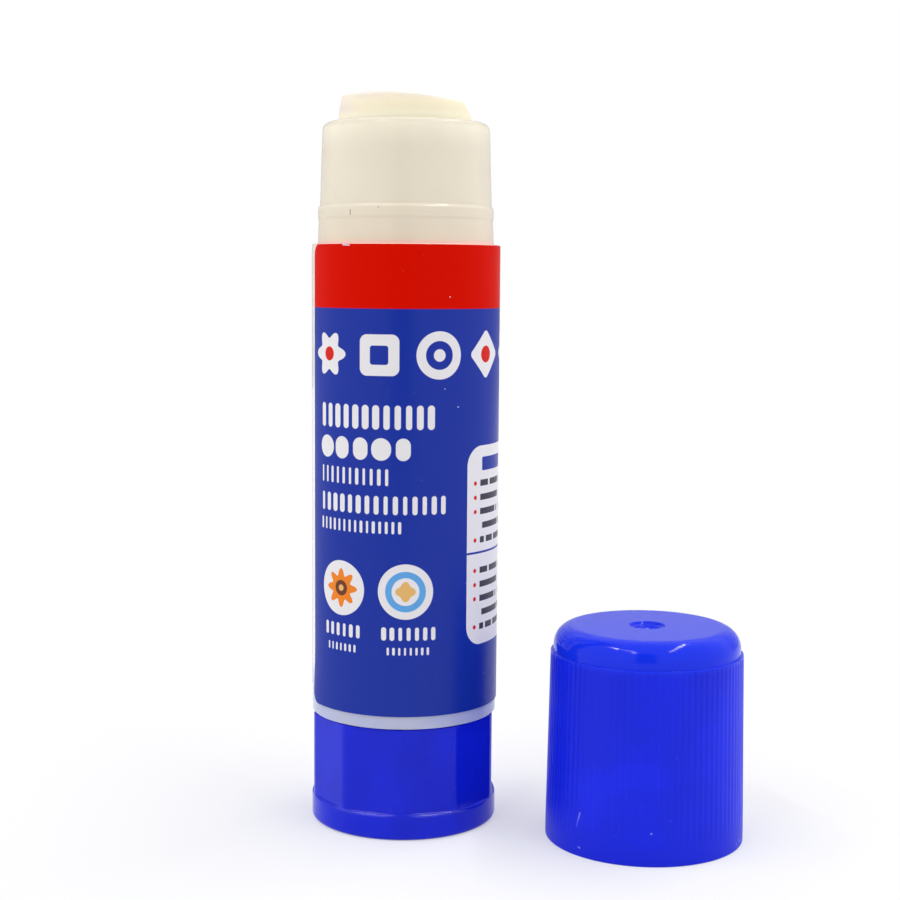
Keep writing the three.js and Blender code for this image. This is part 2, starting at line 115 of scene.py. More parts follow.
BORE = RIM_RADIUS - NECK_WALL

# Label
LABEL_COLUMNS, BEND_COLUMNS = 150, 9
LABEL_ROWS = 60
ROW_BY_EDGE, FIRST_EVEN_ROW = 0.002, 0.01  # as shares of the label's height
LABEL_CORNER = 1.3 * MM
LABEL_SEAM = 4.3 * MM
LABEL_DROP = 0.08 * MM
LABEL_FIRST_EDGE = math.radians(-69.5)
LABEL_OUTER = -LABEL_LOW.y
FILM_THICKNESS = 0.1 * MM
LOOSE_LENGTH = 2.2 * MM
LOOSE_HEIGHT = 3.5 * MM

# Knob
KNOB_FLATS = 10
FIRST_CORNER = math.radians(-0.7)
CORNER_ARC = math.radians(3.0)
CORNER_REACH = 3.2  # degrees on each side of a corner that have close columns
CORNER_COLUMNS = 9
KNOB_WALL = 1.2 * MM
KNOB_DECK_THICKNESS = 1.5 * MM
FLANGE = 2.9 * MM
FLANGE_LOWER_EDGE = 0.5 * MM
FLANGE_EDGE_SHARE = 0.7  # the most of the ledge that the flange's edge may take
FLAT_FILLET = 0.12 * MM
FLAT_FILLET_SHARE = 0.25
SOCKET_FLAT = 2.1 * MM
SOCKET_DEPTH = 8.0 * MM
HUB_WALL = 0.8 * MM
RIB_COUNT = 5
RIB_HALF = 0.4 * MM
RIB_FOOT = 1.2 * MM
COLLAR_WALL = 1.2 * MM
COLLAR_RADIUS = BORE - RUN_GAP
COLLAR_BORE = COLLAR_RADIUS - COLLAR_WALL

# Spindle
SPINDLE_COLUMNS = 120
LEAD = 4.0 * MM
THREAD_CORE = 1.75 * MM
THREAD_CREST = 2.5 * MM
CREST_HALF = 0.4 * MM
ROOT_HALF = 0.9 * MM
THREAD_STEP = 0.25 * MM
THREAD_RUN_IN = 0.1 * MM
SHANK_RADIUS = 2.1 * MM
DISC_RADIUS = 4.4 * MM
DISC_HEIGHT = 1.0 * MM
TIP_LENGTH = 0.8 * MM

# Carrier, of which only the sizes that the glue fits are needed
CARRIER_WALL = 0.8 * MM
NUT_WALL = 0.9 * MM
NUT_HEIGHT = 5.0 * MM

# Glue, and the room in it for the carrier's nut and the spindle
GLUE_COLUMNS = 220
WALL_ROWS, WALL_CURVE = 22, 1.8
COVER_RINGS, RING_SPACING = 40, 0.8
GLUE_ROOF = 6.0 * MM  # over the spindle's room
WORN_LENGTH = 1.5 * MM  # below the rim
GLUE_RADIUS = -GLUE_LOW.x
GLUE_FOOT_RADIUS = CARRIER_HIGH.y - CARRIER_WALL - RUN_GAP
NUT_ROOM_RADIUS = THREAD_CREST + 2 * RUN_GAP + NUT_WALL
NUT_ROOM_TOP = CARRIER_LOW.z + NUT_HEIGHT + RUN_GAP
SPINDLE_ROOM_RADIUS = THREAD_CREST + RUN_GAP
SPINDLE_ROOM_TOP = GLUE_HIGH.z - GLUE_ROOF
WORN_FOOT = RIM - WORN_LENGTH
TIP_NARROWING = 0.5 * MM
GLUE_TOP_EDGE = 0.55 * MM
GLUE_SLOPE_START = -2.4 * MM
GLUE_DROP = 0.78 * MM
GLUE_SIDE_START = 1.9 * MM
SLOPE_SOFTNESS = 0.1 * MM
SIDE_SOFTNESS = 0.3 * MM
WORN_SOFTNESS = 0.16 * MM
BROAD_SPOTS, BROAD_SPOTS_SEED = 4.5 * MM, 11
FINE_SPOTS, FINE_SPOTS_SEED = 1.6 * MM, 12
FINE_SPOTS_SHARE = 0.45

# Cap
CAP_MIDDLE = (CAP_LOW + CAP_HIGH) / 2
CAP_RADIUS = (CAP_HIGH.x - CAP_LOW.x) / 2
CAP_TOP = CAP_HIGH.z
CAP_WALL = 0.95 * MM
CAP_BORE = CAP_RADIUS - CAP_WALL
ROOF_THICKNESS = 1.2 * MM
ROOF = CAP_TOP - ROOF_THICKNESS
CAP_TAPER = 0.35 * MM
DOME_HEIGHT = 2.75 * MM
DOME_STEP = 0.29 * MM  # how far the dome stands back from the skirt
SKIRT_TOP = CAP_TOP - DOME_HEIGHT
SKIRT_UPPER = CAP_RADIUS - CAP_TAPER
DOME_RADIUS = SKIRT_UPPER - DOME_STEP
DOME_FILLET = 0.03 * MM
LIP_EDGE = 0.13 * MM
MOUTH_BAND = 1.6 * MM
MOUTH_STEP = 0.12 * MM
MOUTH_STEP_LOW, MOUTH_STEP_HIGH = 0.25 * MM, 0.5 * MM
RIB_END = 2.4 * MM
RIB_COLUMNS = 6
SKIRT_ROWS = (*np.linspace(0, 0.14, 8), *np.linspace(0.25, 1, 4))  # as shares, close where ribs fade in
RIB_SHARPNESS = 1.5
RIB_UNEVENNESS, RIB_WAVE_SIZE, RIB_WAVE_SEED = 0.4, 0.3, 21
SEAL_WALL = 0.8 * MM
SEAL_FOOT = RIM - SHOULDER + RUN_GAP
CATCH_DEPTH = 0.22 * MM
CATCH_GAP = 0.12 * MM
DIMPLE_FLANK_TOP, DIMPLE_FLANK_FOOT = 0.05 * MM, 0.45 * MM  # inwards from the dimple's radius
GATE_FOOT = 0.34 * MM
GATE_FLANK_FOOT, GATE_FLANK_TOP = 0.32 * MM, 0.2 * MM
GATE_FLANK_RISE, GATE_RISE = 0.14 * MM, 0.15 * MM

# Meshes
EDGE_HOLD = 0.04 * MM
EDGE_HOLD_SHARE = 0.3
SHARP_ANGLE = math.radians(32)
WELD = 1e-8


def srgb(red, green, blue):
    """A colour given as the 0 to 255 values that a picture shows, as linear values."""
    share = np.array([red, green, blue]) / 255
    linear = np.where(share <= 0.04045, share / 12.92, ((share + 0.055) / 1.055) ** 2.4)
    return tuple(float(x) for x in linear)


def length(name, description, default):
    """A setting that holds a length in metres."""
    return FloatProperty(name=name, description=description, default=default, unit="LENGTH", precision=5)


def angle(name, description, degrees):
    """A setting that holds an angle, whose default is given in degrees."""
    return FloatProperty(
        name=name, description=description, default=math.radians(degrees), subtype="ANGLE")


def strength(name, description, default, unit="NONE"):
    """A setting that holds a share or a power of light."""
    return FloatProperty(name=name, description=description, default=default, min=0, unit=unit)


def colour(name, description, default):
    """A setting that holds a linear colour."""
    return FloatVectorProperty(
        name=name, description=description, default=default, subtype="COLOR", size=3, min=0, max=1)


# Settings


class StickSizes(bpy.types.PropertyGroup):
    """Sizes of edges and details that the finished surfaces add to the frame."""

    rim_edge: length("Rim edge", "Rounding of the rim's outer edge", 0.85 * MM)
    bead_rise: length("Bead rise", "How far the snap bead stands over the neck below it", 0.08 * MM)
    flange_edge: length("Flange edge", "Rounding of the knob flange's upper edge", 0.3 * MM)
    deck_edge: length("Knob upper edge", "Rounding of the knob's upper edge", 0.12 * MM)
    film_lift: length("Film lift", "How far the label's loose corner stands off", 0.14 * MM)
    rib_depth: length("Rib depth", "Depth of the valleys between the cap's ribs", 0.048 * MM)
    dome_edge: length("Dome edge", "Rounding of the cap's upper edge", 2.15 * MM)
    dimple_radius: length("Dimple radius", "Radius of the dimple in the cap's top", 1.9 * MM)
    dimple_depth: length("Dimple depth", "Depth of the dimple in the cap's top", 0.5 * MM)
    wax_ripple: length("Wax ripple", "Height of the uneven spots on the rubbed glue", 0.05 * MM)
    cap_ribs: IntProperty(name="Cap ribs", description="Ribs round the cap", default=92, min=12, max=200)
    glue_slope: angle("Glue slope", "Slope of the rubbed top", 6.3)
    glue_side_slope: angle("Glue side slope", "Slope of the rubbed right side", 60)


class StickColours(bpy.types.PropertyGroup):
    """Colours of the plastics, the glue and the print."""

    natural: colour("Natural plastic", "The uncoloured barrel, over the glue", srgb(229, 220, 201))
    natural_foot: colour("Barrel foot", "The barrel over the blue collar", srgb(176, 183, 215))
    natural_rim: colour("Barrel rim", "The thin, lighter rim", srgb(244, 236, 217))
    knob: colour("Knob", "The knob's blue", srgb(17, 35, 210))
    cap: colour("Cap", "The cap's blue", srgb(15, 37, 228))
    inner: colour("Inner plastic", "The spindle and the carrier", srgb(236, 234, 226))
    glue: colour("Glue", "The glue's body", srgb(239, 230, 205))
    dry_glue: colour("Dry glue", "The glue's dried edges", srgb(223, 212, 211))
    field: colour("Label field", "The label's ground", srgb(20, 47, 153))
    band: colour("Label band", "The band along the label's top", srgb(208, 15, 0))
    print_white: colour("Label white", "The white print", srgb(226, 224, 226))
    ink: colour("Label ink", "The small print on white", srgb(58, 56, 74))
    orange: colour("Label orange", "The orange motifs", srgb(232, 128, 30))
    brown: colour("Label brown", "The brown motifs", srgb(110, 56, 36))
    tan: colour("Label tan", "The tan motifs", srgb(224, 176, 104))
    sky: colour("Label sky blue", "The pale blue motifs", srgb(92, 160, 220))


class StageSettings(bpy.types.PropertyGroup):
    """Floor, lamps and camera."""

    floor: colour("Floor", "The floor's colour", srgb(240, 240, 242))
    ambient: strength("Ambient", "Light from the tent's front and back together", 0.87)
    ambient_back: strength("Ambient rise to the back", "How much more comes from behind", 0.06)
    ambient_left: strength("Ambient rise to the left", "How much more comes from the left", 0.045)
    ambient_top: strength("Ambient fall at the top", "How much less comes from straight above", 0.6)
    ambient_sides: strength("Ambient at the sides", "How much both sides add", 0.577)
    left_power: strength("Left power", "Power of the left strip lamp", 0.54, "POWER")
    right_power: strength("Right power", "Power of the right strip lamp", 0.66, "POWER")
    lens: length("Lens", "Focal length of the camera on its 36 mm sensor", 67.24 * MM)
    camera_pitch: angle("Camera pitch", "How far it looks down", 5.95)
    camera_roll: angle("Camera roll", "Turn about its own axis", 0.4)


# Surfaces


def side_by_side(*values):
    """Arrays joined along a new last axis, each spread to the size of the others."""
    return np.stack(np.broadcast_arrays(*values), axis=-1)


def smooth_step(t):
    """An even rise from 0 to 1 with soft ends: 3t^2 - 2t^3."""
    return t * t * (3 - 2 * t)


def corner(radius, height):
    """One row of [radius, height]."""
    return side_by_side(np.atleast_1d(radius), np.atleast_1d(height))[None]


def rounded(radius, height, size, start, end, steps=8):
    """Rows that round a profile's corner: middle + size [cos a, sin a], where a runs from start to end
    in degrees, and the middle lies the size inside both sides of the corner."""
    a = np.radians(np.linspace(start, end, steps + 1))[:, None]
    halfway = math.radians((start + end) / 2)
    middle_radius = radius - size * math.copysign(1, math.cos(halfway))
    middle_height = height - size * math.copysign(1, math.sin(halfway))
    return side_by_side(middle_radius + size * np.cos(a), middle_height + size * np.sin(a))


def ease(radius, height, end_radius, end_height, steps=8):
    """Rows that rise evenly from one height to the other, while the radius follows a smooth step."""
    t = np.linspace(0, 1, steps + 1)[:, None]
    return side_by_side(
        radius + (end_radius - radius) * smooth_step(t), height + (end_height - height) * t)


def stacked(*parts):
    """One profile from several, each made as wide as the widest. A pair is a corner."""
    parts = [corner(*p) if isinstance(p, tuple) else p for p in parts]
    columns = max(p.shape[1] for p in parts)
    return np.concatenate([np.broadcast_to(p, (len(p), columns, 2)) for p in parts])


def outline(*parts):
    """A stacked profile with a row added just inside both ends of each straight run, so that smooth
    shading keeps it flat."""
    rows = stacked(*parts)
    step = np.diff(rows, axis=0)
    run = np.linalg.norm(step, axis=2, keepdims=True)
    near = step * np.minimum(EDGE_HOLD / np.maximum(run, WELD), EDGE_HOLD_SHARE)
    added = np.stack([rows[:-1], rows[:-1] + near, rows[1:] - near], axis=1)
    keep = np.repeat((run.max(axis=(1, 2)) > 4 * EDGE_HOLD)[:, None], 3, axis=1)
    keep[:, 0] = True
    return np.concatenate([added[keep], rows[-1:]])


def around(profile, angles, middle=(0, 0)):
    """Grid of a profile carried about an upright axis: x = r sin a, y = -r cos a, z = height."""
    radius, height = profile[..., 0], profile[..., 1]
    return side_by_side(middle[0] + radius * np.sin(angles), middle[1] - radius * np.cos(angles), height)


def even_angles(count):
    """Column angles that divide the turn evenly."""
    return np.arange(count) * TURN / count


def slotted_angles(plain, middles, half):
    """Column angles with a double column at each edge of each slot or rib, and which lie in one."""
    middles = np.asarray(middles)
    apart = np.abs((plain[:, None] - middles + TURN / 2) % TURN - TURN / 2)
    edges = (middles[:, None] + np.array([-half, -half, half, half])).ravel()
    angles = np.concatenate([plain, edges])
    inside = np.concatenate([(apart < half).any(axis=1), np.tile([False, True, True, False], len(middles))])
    order = np.argsort(angles, kind="stable")
    return angles[order], inside[order]


def waves(points, size, seed, count=24):
    """Smooth uneven values from -1 to 1: the scaled sum of count sine waves in seeded directions, whose
    lengths lie round size."""
    slowest, fastest, peak = 0.5, 1.6, 1.6
    rng = np.random.default_rng(seed)
    ways = rng.normal(size=(count, points.shape[-1]))
    pace = rng.uniform(slowest, fastest, (count, 1))
    ways *= TURN / size * pace / np.linalg.norm(ways, axis=1, keepdims=True)
    shifts = rng.uniform(0, TURN, count)
    return np.clip(np.sin(points @ ways.T + shifts).sum(axis=-1) / math.sqrt(count) / peak, -1, 1)


def softer_min(a, b, size):
    """The lower of two surfaces, rounded where they cross: (a + b - sqrt((a - b)^2 + size^2)) / 2."""
    return (a + b - np.sqrt((a - b) ** 2 + size * size)) / 2


def grid_faces(rows, columns, looped, ring):
    """Corner numbers of the quads between neighbouring points of a grid. A ring's last column meets
    its first, and a looped grid's last row its first."""
    r, c = np.meshgrid(
        np.arange(rows if looped else rows - 1), np.arange(columns if ring else columns - 1), indexing="ij")
    next_r, next_c = (r + 1) % rows, (c + 1) % columns
    corners = r * columns + c, r * columns + next_c, next_r * columns + next_c, next_r * columns + c
    return np.stack(corners, axis=-1).reshape(-1, 4)


def skin(grid, looped=False):
    """(points, triangles, quads) of a grid that goes all round. Points that lie together become one,
    which closes poles and double columns."""
    places = np.round(grid.reshape(-1, 3) / WELD).astype(np.int64)
    _, first, number = np.unique(places, axis=0, return_index=True, return_inverse=True)
    faces = number.ravel()[grid_faces(*grid.shape[:2], looped, ring=True)]
    same = faces == np.roll(faces, -1, axis=1)
    crossed = (faces[:, 0] == faces[:, 2]) | (faces[:, 1] == faces[:, 3])
    missing = same.sum(axis=1)
    quads = faces[(missing == 0) & ~crossed]
    three = (missing == 1) & ~crossed
    return grid.reshape(-1, 3)[first], faces[three][~same[three]].reshape(-1, 3), quads


def put_mesh(name, points, *faces):
    """An object at the origin with a smooth mesh. Faces are arrays of corner numbers, one for each
    count of corners."""
    faces = [f for f in faces if len(f)]
    mesh = bpy.data.meshes.new(name)
    counts = np.concatenate([np.full(len(f), f.shape[1]) for f in faces])
    corners = np.concatenate([f.ravel() for f in faces])
    mesh.vertices.add(len(points))
    mesh.vertices.foreach_set("co", points.astype(np.float32).ravel())
    mesh.loops.add(len(corners))
    mesh.loops.foreach_set("vertex_index", corners.astype(np.int32))
    mesh.polygons.add(len(counts))
    mesh.polygons.foreach_set("loop_start", (np.cumsum(counts) - counts).astype(np.int32))
    mesh.update(calc_edges=True)
    mesh.shade_smooth()
    mesh.set_sharp_from_angle(angle=SHARP_ANGLE)
    made = bpy.data.objects.new(name, mesh)
    bpy.context.scene.collection.objects.link(made)
    return made


def finish_piece(piece, body, slot, material, *nodes):
    """Dresses a piece, seats it on its CAD body and lets it stand for its CAD nodes."""
    piece.data.materials.append(material)
    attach(piece, body)
    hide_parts(*nodes)


# Shader helpers


class Field:
    """A number, vector or colour that shader nodes work out. Fields add, subtract, multiply, divide and
    compare as numbers do, with a node for each step, and a comparison gives 1 or 0."""

    def __init__(self, socket):
        self.socket = socket
        self.tree = socket.id_data

    def __add__(self, other):
        return compute("ADD", self, other)

    def __sub__(self, other):
        return compute("SUBTRACT", self, other)

    def __rsub__(self, other):
        return compute("SUBTRACT", other, self)

    def __mul__(self, other):
        return compute("MULTIPLY", self, other)

    def __truediv__(self, other):
        return compute("DIVIDE", self, other)

    def __lt__(self, other):
        return compute("LESS_THAN", self, other)

    def __gt__(self, other):
        return compute("GREATER_THAN", self, other)


def plug(socket, value):
    """Feeds an input with a field or a plain value."""
    if isinstance(value, Field):
        value.tree.links.new(value.socket, socket)
    else:
        socket.default_value = value


def add_node(tree, kind, inputs=None, **settings):
    """A node with its settings, and its inputs given as plain values or fields."""
    made = tree.nodes.new(kind)
    for key, value in settings.items():
        setattr(made, key, value)
    for key, value in (inputs or {}).items():
        plug(made.inputs[key], value)
    return made


def tree_of(*values):
    """The shader tree of the first field among some values."""
    return next(value.tree for value in values if isinstance(value, Field))


def compute(operation, *values, clamp=False):
    """The field of a Math node, or of a Vector Math node where one of the values is a vector."""
    numbers = dict(enumerate(values))
    if any(isinstance(v, tuple) or isinstance(v, Field) and v.socket.type == "VECTOR" for v in values):
        made = add_node(tree_of(*values), "ShaderNodeVectorMath", numbers, operation=operation)
        is_number = operation in ("LENGTH", "DISTANCE", "DOT_PRODUCT")
        return Field(made.outputs["Value" if is_number else "Vector"])
    made = add_node(tree_of(*values), "ShaderNodeMath", numbers, operation=operation, use_clamp=clamp)
    return Field(made.outputs[0])


def split(vector):
    """The x, y and z of a vector."""
    return [Field(out) for out in add_node(vector.tree, "ShaderNodeSeparateXYZ", {0: vector}).outputs]


def join(x, y, z=0.0):
    """A vector of an x, y and z, of which one at least is a field."""
    return Field(add_node(tree_of(x, y, z), "ShaderNodeCombineXYZ", {0: x, 1: y, 2: z}).outputs[0])


def turn_about(axis, vector, turn):
    """A vector turned about an axis, X, Y or Z, through the origin."""
    return Field(add_node(vector.tree, "ShaderNodeVectorRotate", {
        "Vector": vector, "Angle": turn}, rotation_type=axis + "_AXIS").outputs[0])


def chance(dimensions, **place):
    """A seeded random number from 0 to 1, the same all over each place."""
    return Field(add_node(tree_of(*place.values()), "ShaderNodeTexWhiteNoise", place,
                          noise_dimensions=dimensions).outputs["Value"])


def noise(place, scale, detail):
    """A smooth noise from 0 to 1."""
    return Field(add_node(place.tree, "ShaderNodeTexNoise", {
        "Vector": place, "Scale": scale, "Detail": detail}).outputs["Fac"])


def remap(value, low, high, to_low=0.0, to_high=1.0):
    """A value carried smoothly from one range to another, and held at the ends."""
    return Field(add_node(value.tree, "ShaderNodeMapRange", {
        "Value": value, "From Min": low, "From Max": high, "To Min": to_low, "To Max": to_high,
    }, interpolation_type="SMOOTHSTEP").outputs["Result"])


def vary(source, low, high):
    """A value from low to high that follows a noise, most of which lies between 0.3 and 0.7."""
    return remap(source, 0.3, 0.7, low, high)


def blend(share, a, b):
    """A colour between a and b."""
    a, b = (x if isinstance(x, Field) else (*x, 1) for x in (a, b))
    return Field(add_node(share.tree, "ShaderNodeMix", {0: share, 6: a, 7: b}, data_type="RGBA").outputs[2])


def new_group(name, inputs, outputs):
    """(the inputs' fields, the outputs' sockets) of a new node group. An input that has a triple as its
    default is a vector, and the others and the outputs are numbers."""
    group = bpy.data.node_groups.new(name, "ShaderNodeTree")
    for label, default in inputs.items():
        kind = "NodeSocketVector" if isinstance(default, tuple) else "NodeSocketFloat"
        group.interface.new_socket(label, in_out="INPUT", socket_type=kind).default_value = default
    for label in outputs:
        group.interface.new_socket(label, in_out="OUTPUT", socket_type="NodeSocketFloat")
    given = group.nodes.new("NodeGroupInput").outputs
    return [Field(given[label]) for label in inputs], group.nodes.new("NodeGroupOutput").inputs


def use_group(name, place, **inputs):
    """The outputs' fields of a group put into place's tree. Inputs are named as in the group."""
    made = place.tree.nodes.new("ShaderNodeGroup")
    made.node_tree = bpy.data.node_groups[name]
    for key, value in {"place": place, **inputs}.items():
        plug(made.inputs[key.title()], value)
    return [Field(out) for out in made.outputs]


def new_material(name, **sockets):
    """(material, shader) with plain values on the shader's own sockets."""
    material = bpy.data.materials.new(name)
    material.use_nodes = True
    shader = material.node_tree.nodes["Principled BSDF"]
    for key, value in sockets.items():
        shader.inputs[key.replace("_", " ")].default_value = value
    return material, shader


def object_place(tree):
    """A piece's own coordinates in metres."""
    return Field(add_node(tree, "ShaderNodeTexCoord").outputs["Object"])


def millimetres(material):
    """A piece's own coordinates in millimetres."""
    return object_place(material.node_tree) * ((1 / MM,) * 3)


def dress(shader, body, roughness, relief, relief_height, worn=None, roughening=0.0, depth=0.0):
    """Feeds a shader's colour and roughness, and raises its surface by the relief times the height.
    Where it is worn, it is rougher and lies deeper."""
    if worn is not None:
        roughness = worn * roughening + roughness
        relief = worn * -depth + relief
    plug(shader.inputs["Base Color"], body)
    plug(shader.inputs["Roughness"], roughness)
    bump = add_node(relief.tree, "ShaderNodeBump", {"Height": relief, "Distance": relief_height})
    plug(shader.inputs["Normal"], Field(bump.outputs["Normal"]))


# Effects that several finishes share, and the label's printed shapes

ORIGIN = (0, 0, 0)
PRINT_SOFT = 0.05  # millimetres over which a printed edge fades
HAIR_WIDTH = 9.0
HAIR_LENGTH = 3.0
HAIR_CONTRAST = 16.0
MARK_CORE = 0.4  # share of a mark's width that is full
PILL_WIDTH_SPREAD = 0.35
ROW_LENGTH_SPREAD = 0.45
ROW_GAPS = 0.2  # share of a row's cells that stay bare


def make_grain_group():
    """Uneven gloss and fine relief of a moulded or rolled surface, from two sizes of noise."""
    (place, fine, broad), made = new_group(
        "surface_grain", {"Place": ORIGIN, "Fine": 3.0, "Broad": 0.25}, ["Grain", "Cloud"])
    plug(made["Grain"], noise(place, fine, 2.0))
    plug(made["Cloud"], noise(place, broad, 3.0))


def make_scratch_group():
    """Hairline scratches: the highest peaks of a noise that is drawn out along one direction."""
    (place, density, long, turn, cover), made = new_group(
        "hairlines", {"Place": ORIGIN, "Density": 1.0, "Length": 4.0, "Turn": 0.6, "Cover": 0.74}, ["Mask"])
    shape = join(HAIR_WIDTH, HAIR_WIDTH, compute("DIVIDE", HAIR_LENGTH, long))
    peaks = noise(turn_about("Y", place, turn) * shape, density, 1.0) - cover
    plug(made["Mask"], compute("MULTIPLY", peaks, HAIR_CONTRAST, clamp=True))


def make_mark_group():
    """One scratch, nick or speck: 1 within the width of the line between two points, from
    |p - a - (b - a) h|, where h is the share of the way along, held to 0 and 1."""
    (place, start, end, width), made = new_group(
        "placed_mark", {"Place": ORIGIN, "Start": ORIGIN, "End": (0, 0, 1), "Width": 0.1}, ["Mask"])
    from_start, run = place - start, end - start
    along = compute("DOT_PRODUCT", from_start, run)
    share = compute("DIVIDE", along, compute("DOT_PRODUCT", run, run), clamp=True)
    distance = compute("DISTANCE", from_start, run * join(share, share, share))
    plug(made["Mask"], remap(distance, width, width * MARK_CORE))


def make_speck_group():
    """Dust and tiny nicks: round spots in a few cells of a Voronoi pattern, each of its own size."""
    (place, density, size, share), made = new_group(
        "specks", {"Place": ORIGIN, "Density": 0.4, "Size": 0.04, "Share": 0.2}, ["Mask"])
    cells = add_node(place.tree, "ShaderNodeTexVoronoi", {"Vector": place, "Scale": density})
    picks = add_node(place.tree, "ShaderNodeSeparateColor", {0: Field(cells.outputs["Color"])})
    kept, grown = (Field(picks.outputs[i]) for i in (0, 1))
    spot = Field(cells.outputs["Distance"]) < size * grown * density
    plug(made["Mask"], spot * (kept < share))


def printed_edge(distance):
    """1 inside a printed shape and 0 outside, from the distance to its edge in millimetres."""
    return compute("SUBTRACT", 0.5, distance / PRINT_SOFT, clamp=True)


def make_box_group():
    """A printed box with rounded corners: |q+| + min(max(q), 0) - corner, where q = |p| - half + corner."""
    (place, middle, half, round_by, turn), made = new_group(
        "printed_box", {"Place": ORIGIN, "Middle": ORIGIN, "Half": (1, 1, 0), "Corner": 0.2, "Turn": 0.0},
        ["Mask"])
    q = compute("ABSOLUTE", turn_about("Z", place - middle, turn)) - half + join(round_by, round_by)
    outside = compute("LENGTH", compute("MAXIMUM", q, ORIGIN) * (1, 1, 0))
    x, y, _ = split(q)
    within = compute("MINIMUM", compute("MAXIMUM", x, y), 0.0)
    plug(made["Mask"], printed_edge(outside + within - round_by))


def make_petal_group():
    """A printed disc or flower: |p| - radius (1 + depth cos(petals a))."""
    (place, middle, radius, petals, depth), made = new_group(
        "printed_petals", {"Place": ORIGIN, "Middle": ORIGIN, "Radius": 1.0, "Petals": 5.0, "Depth": 0.0},
        ["Mask"])
    moved = place - middle
    x, y, _ = split(moved)
    wave = compute("COSINE", compute("ARCTAN2", y, x) * petals)
    reach = wave * depth * radius + radius
    plug(made["Mask"], printed_edge(compute("LENGTH", moved * (1, 1, 0)) - reach))


def make_pills_group():
    """A row of printed pills: boxes with round ends, one in each cell of the pitch, whose widths and
    gaps a seeded white noise varies."""
    (place, start, pitch, count, rise, fill, seed), made = new_group("printed_pills", {
        "Place": ORIGIN, "Start": ORIGIN, "Pitch": 1.2, "Count": 8.0, "Rise": 1.0, "Fill": 0.6,
        "Seed": 0.0}, ["Mask"])
    x, y, _ = split(place - start)
    across = x / pitch
    cell = compute("FLOOR", across)
    off = (compute("FRACT", across) - 0.5) * pitch
    width = chance("2D", Vector=join(cell, seed)) * PILL_WIDTH_SPREAD + (1 - PILL_WIDTH_SPREAD)
    reach = fill * width * pitch * 0.5
    [pill] = use_group(
        "printed_box", join(off, y), half=join(reach, rise), corner=compute("MINIMUM", reach, rise))
    plug(made["Mask"], pill * (x > 0.0) * (cell < count - 0.5))


def make_rows_group():
    """Small print as rows of short dashes: each row is a band of the height, each dash a cell that a
    seeded white noise keeps, and each row ends at its own length."""
    (place, low, width, height, pitch, ink, cell), made = new_group("printed_rows", {
        "Place": ORIGIN, "Low": ORIGIN, "Width": 10.0, "Height": 10.0, "Pitch": 1.5, "Ink": 0.42,
        "Cell": 0.42}, ["Mask"])
    x, y, _ = split(place - low)
    row_place = y / pitch
    row = compute("FLOOR", row_place)
    off_middle = compute("ABSOLUTE", compute("FRACT", row_place) - 0.5)
    kept = chance("2D", Vector=join(compute("FLOOR", x / cell), row)) > ROW_GAPS
    end = width * (chance("1D", W=row) * ROW_LENGTH_SPREAD + (1 - ROW_LENGTH_SPREAD))
    band = off_middle < ink * 0.5
    plug(made["Mask"], band * kept * (x < end) * (x > 0.0) * (y > 0.0) * (y < height))


def make_groups():
    """Builds the effects once. The row of pills is built from the box, so it comes after it."""
    for make in (make_grain_group, make_scratch_group, make_mark_group, make_speck_group, make_box_group,
                 make_petal_group, make_pills_group, make_rows_group):
        make()


# Finishes

# Marks: the two ends and the width of each, in millimetres
NECK_MARKS = (
    ((-5.73, -7.88, 68.1), (-5.73, -7.88, 67.6), 0.09),
    ((-2.70, -9.36, 68.35), (-2.66, -9.36, 68.35), 0.08),
)
CAP_MARKS = (
    ((19.07, -14.81, 4.75), (18.80, -14.52, 3.24), 0.12),
    ((26.23, -18.04, 3.62), (26.30, -18.04, 3.62), 0.13),
    ((19.12, -14.99, 1.00), (18.95, -14.80, 1.05), 0.12),
    ((26.50, -7.40, 23.08), (26.70, -7.40, 23.08), 0.25),
    ((36.46, -12.10, 1.05), (36.62, -11.75, 0.75), 0.14),
    ((36.02, -12.75, 0.89), (36.10, -12.64, 0.70), 0.10),
)
# A painted highlight along one of the knob's facet corners
KNOB_PAINTED_HIGHLIGHT = (((5.55, -8.44, 11.6), (5.50, -8.47, 10.7), 0.07),)
LABEL_MARKS = (
    ((-6.44, -8.29, 64.40), (-5.78, -8.77, 64.36), 0.11),
    ((4.94, -9.27, 58.96), (4.97, -9.25, 58.99), 0.08),
    ((5.87, -8.70, 47.26), (5.92, -8.67, 47.26), 0.09),
    ((4.47, -9.50, 49.23), (4.50, -9.49, 49.23), 0.07),
)

# Tints that finishes blend in
# Painted shade on the rim's top edge
PAINTED_RIM_EDGE_SHADE_TINT = srgb(220, 211, 193)
WARM_TINT = srgb(226, 210, 190)
# Painted pink light bounced from the red band onto the neck
PAINTED_RED_BOUNCE_TINT = srgb(255, 209, 198)
COVERED_TINT = srgb(236, 234, 232)
CLOUD_TINT = srgb(214, 205, 186)
NECK_SPECK_TINT = srgb(84, 66, 56)
# Pale wear on the blue plastic, also used for the knob's painted highlight
BLUE_WEAR_AND_HIGHLIGHT_TINT = srgb(150, 160, 245)
INNER_CLOUD_TINT = srgb(222, 220, 210)
# Painted light on the glue just above the milky rim
PAINTED_GLUE_RIM_LIGHT_TINT = srgb(252, 244, 222)
LABEL_WEAR_TINT = srgb(214, 212, 226)
# Deeper blue for the dye's cloud, and for the painted shade at the cap's mouth
DEEP_DYE_AND_SHADE_SHARE = 0.86
# Painted light from above on the cap's dome
PAINTED_DOME_LIGHT_SHARES = (1.4, 1.6, 0.98)  # of the cap's red, green and blue

# The cap's satin skirt with its painted dome light and painted mouth shade, and the knob's rubbed ledge, in
# millimetres
SATIN_ROUGHNESS = 0.34
SATIN_FADE = 0.5
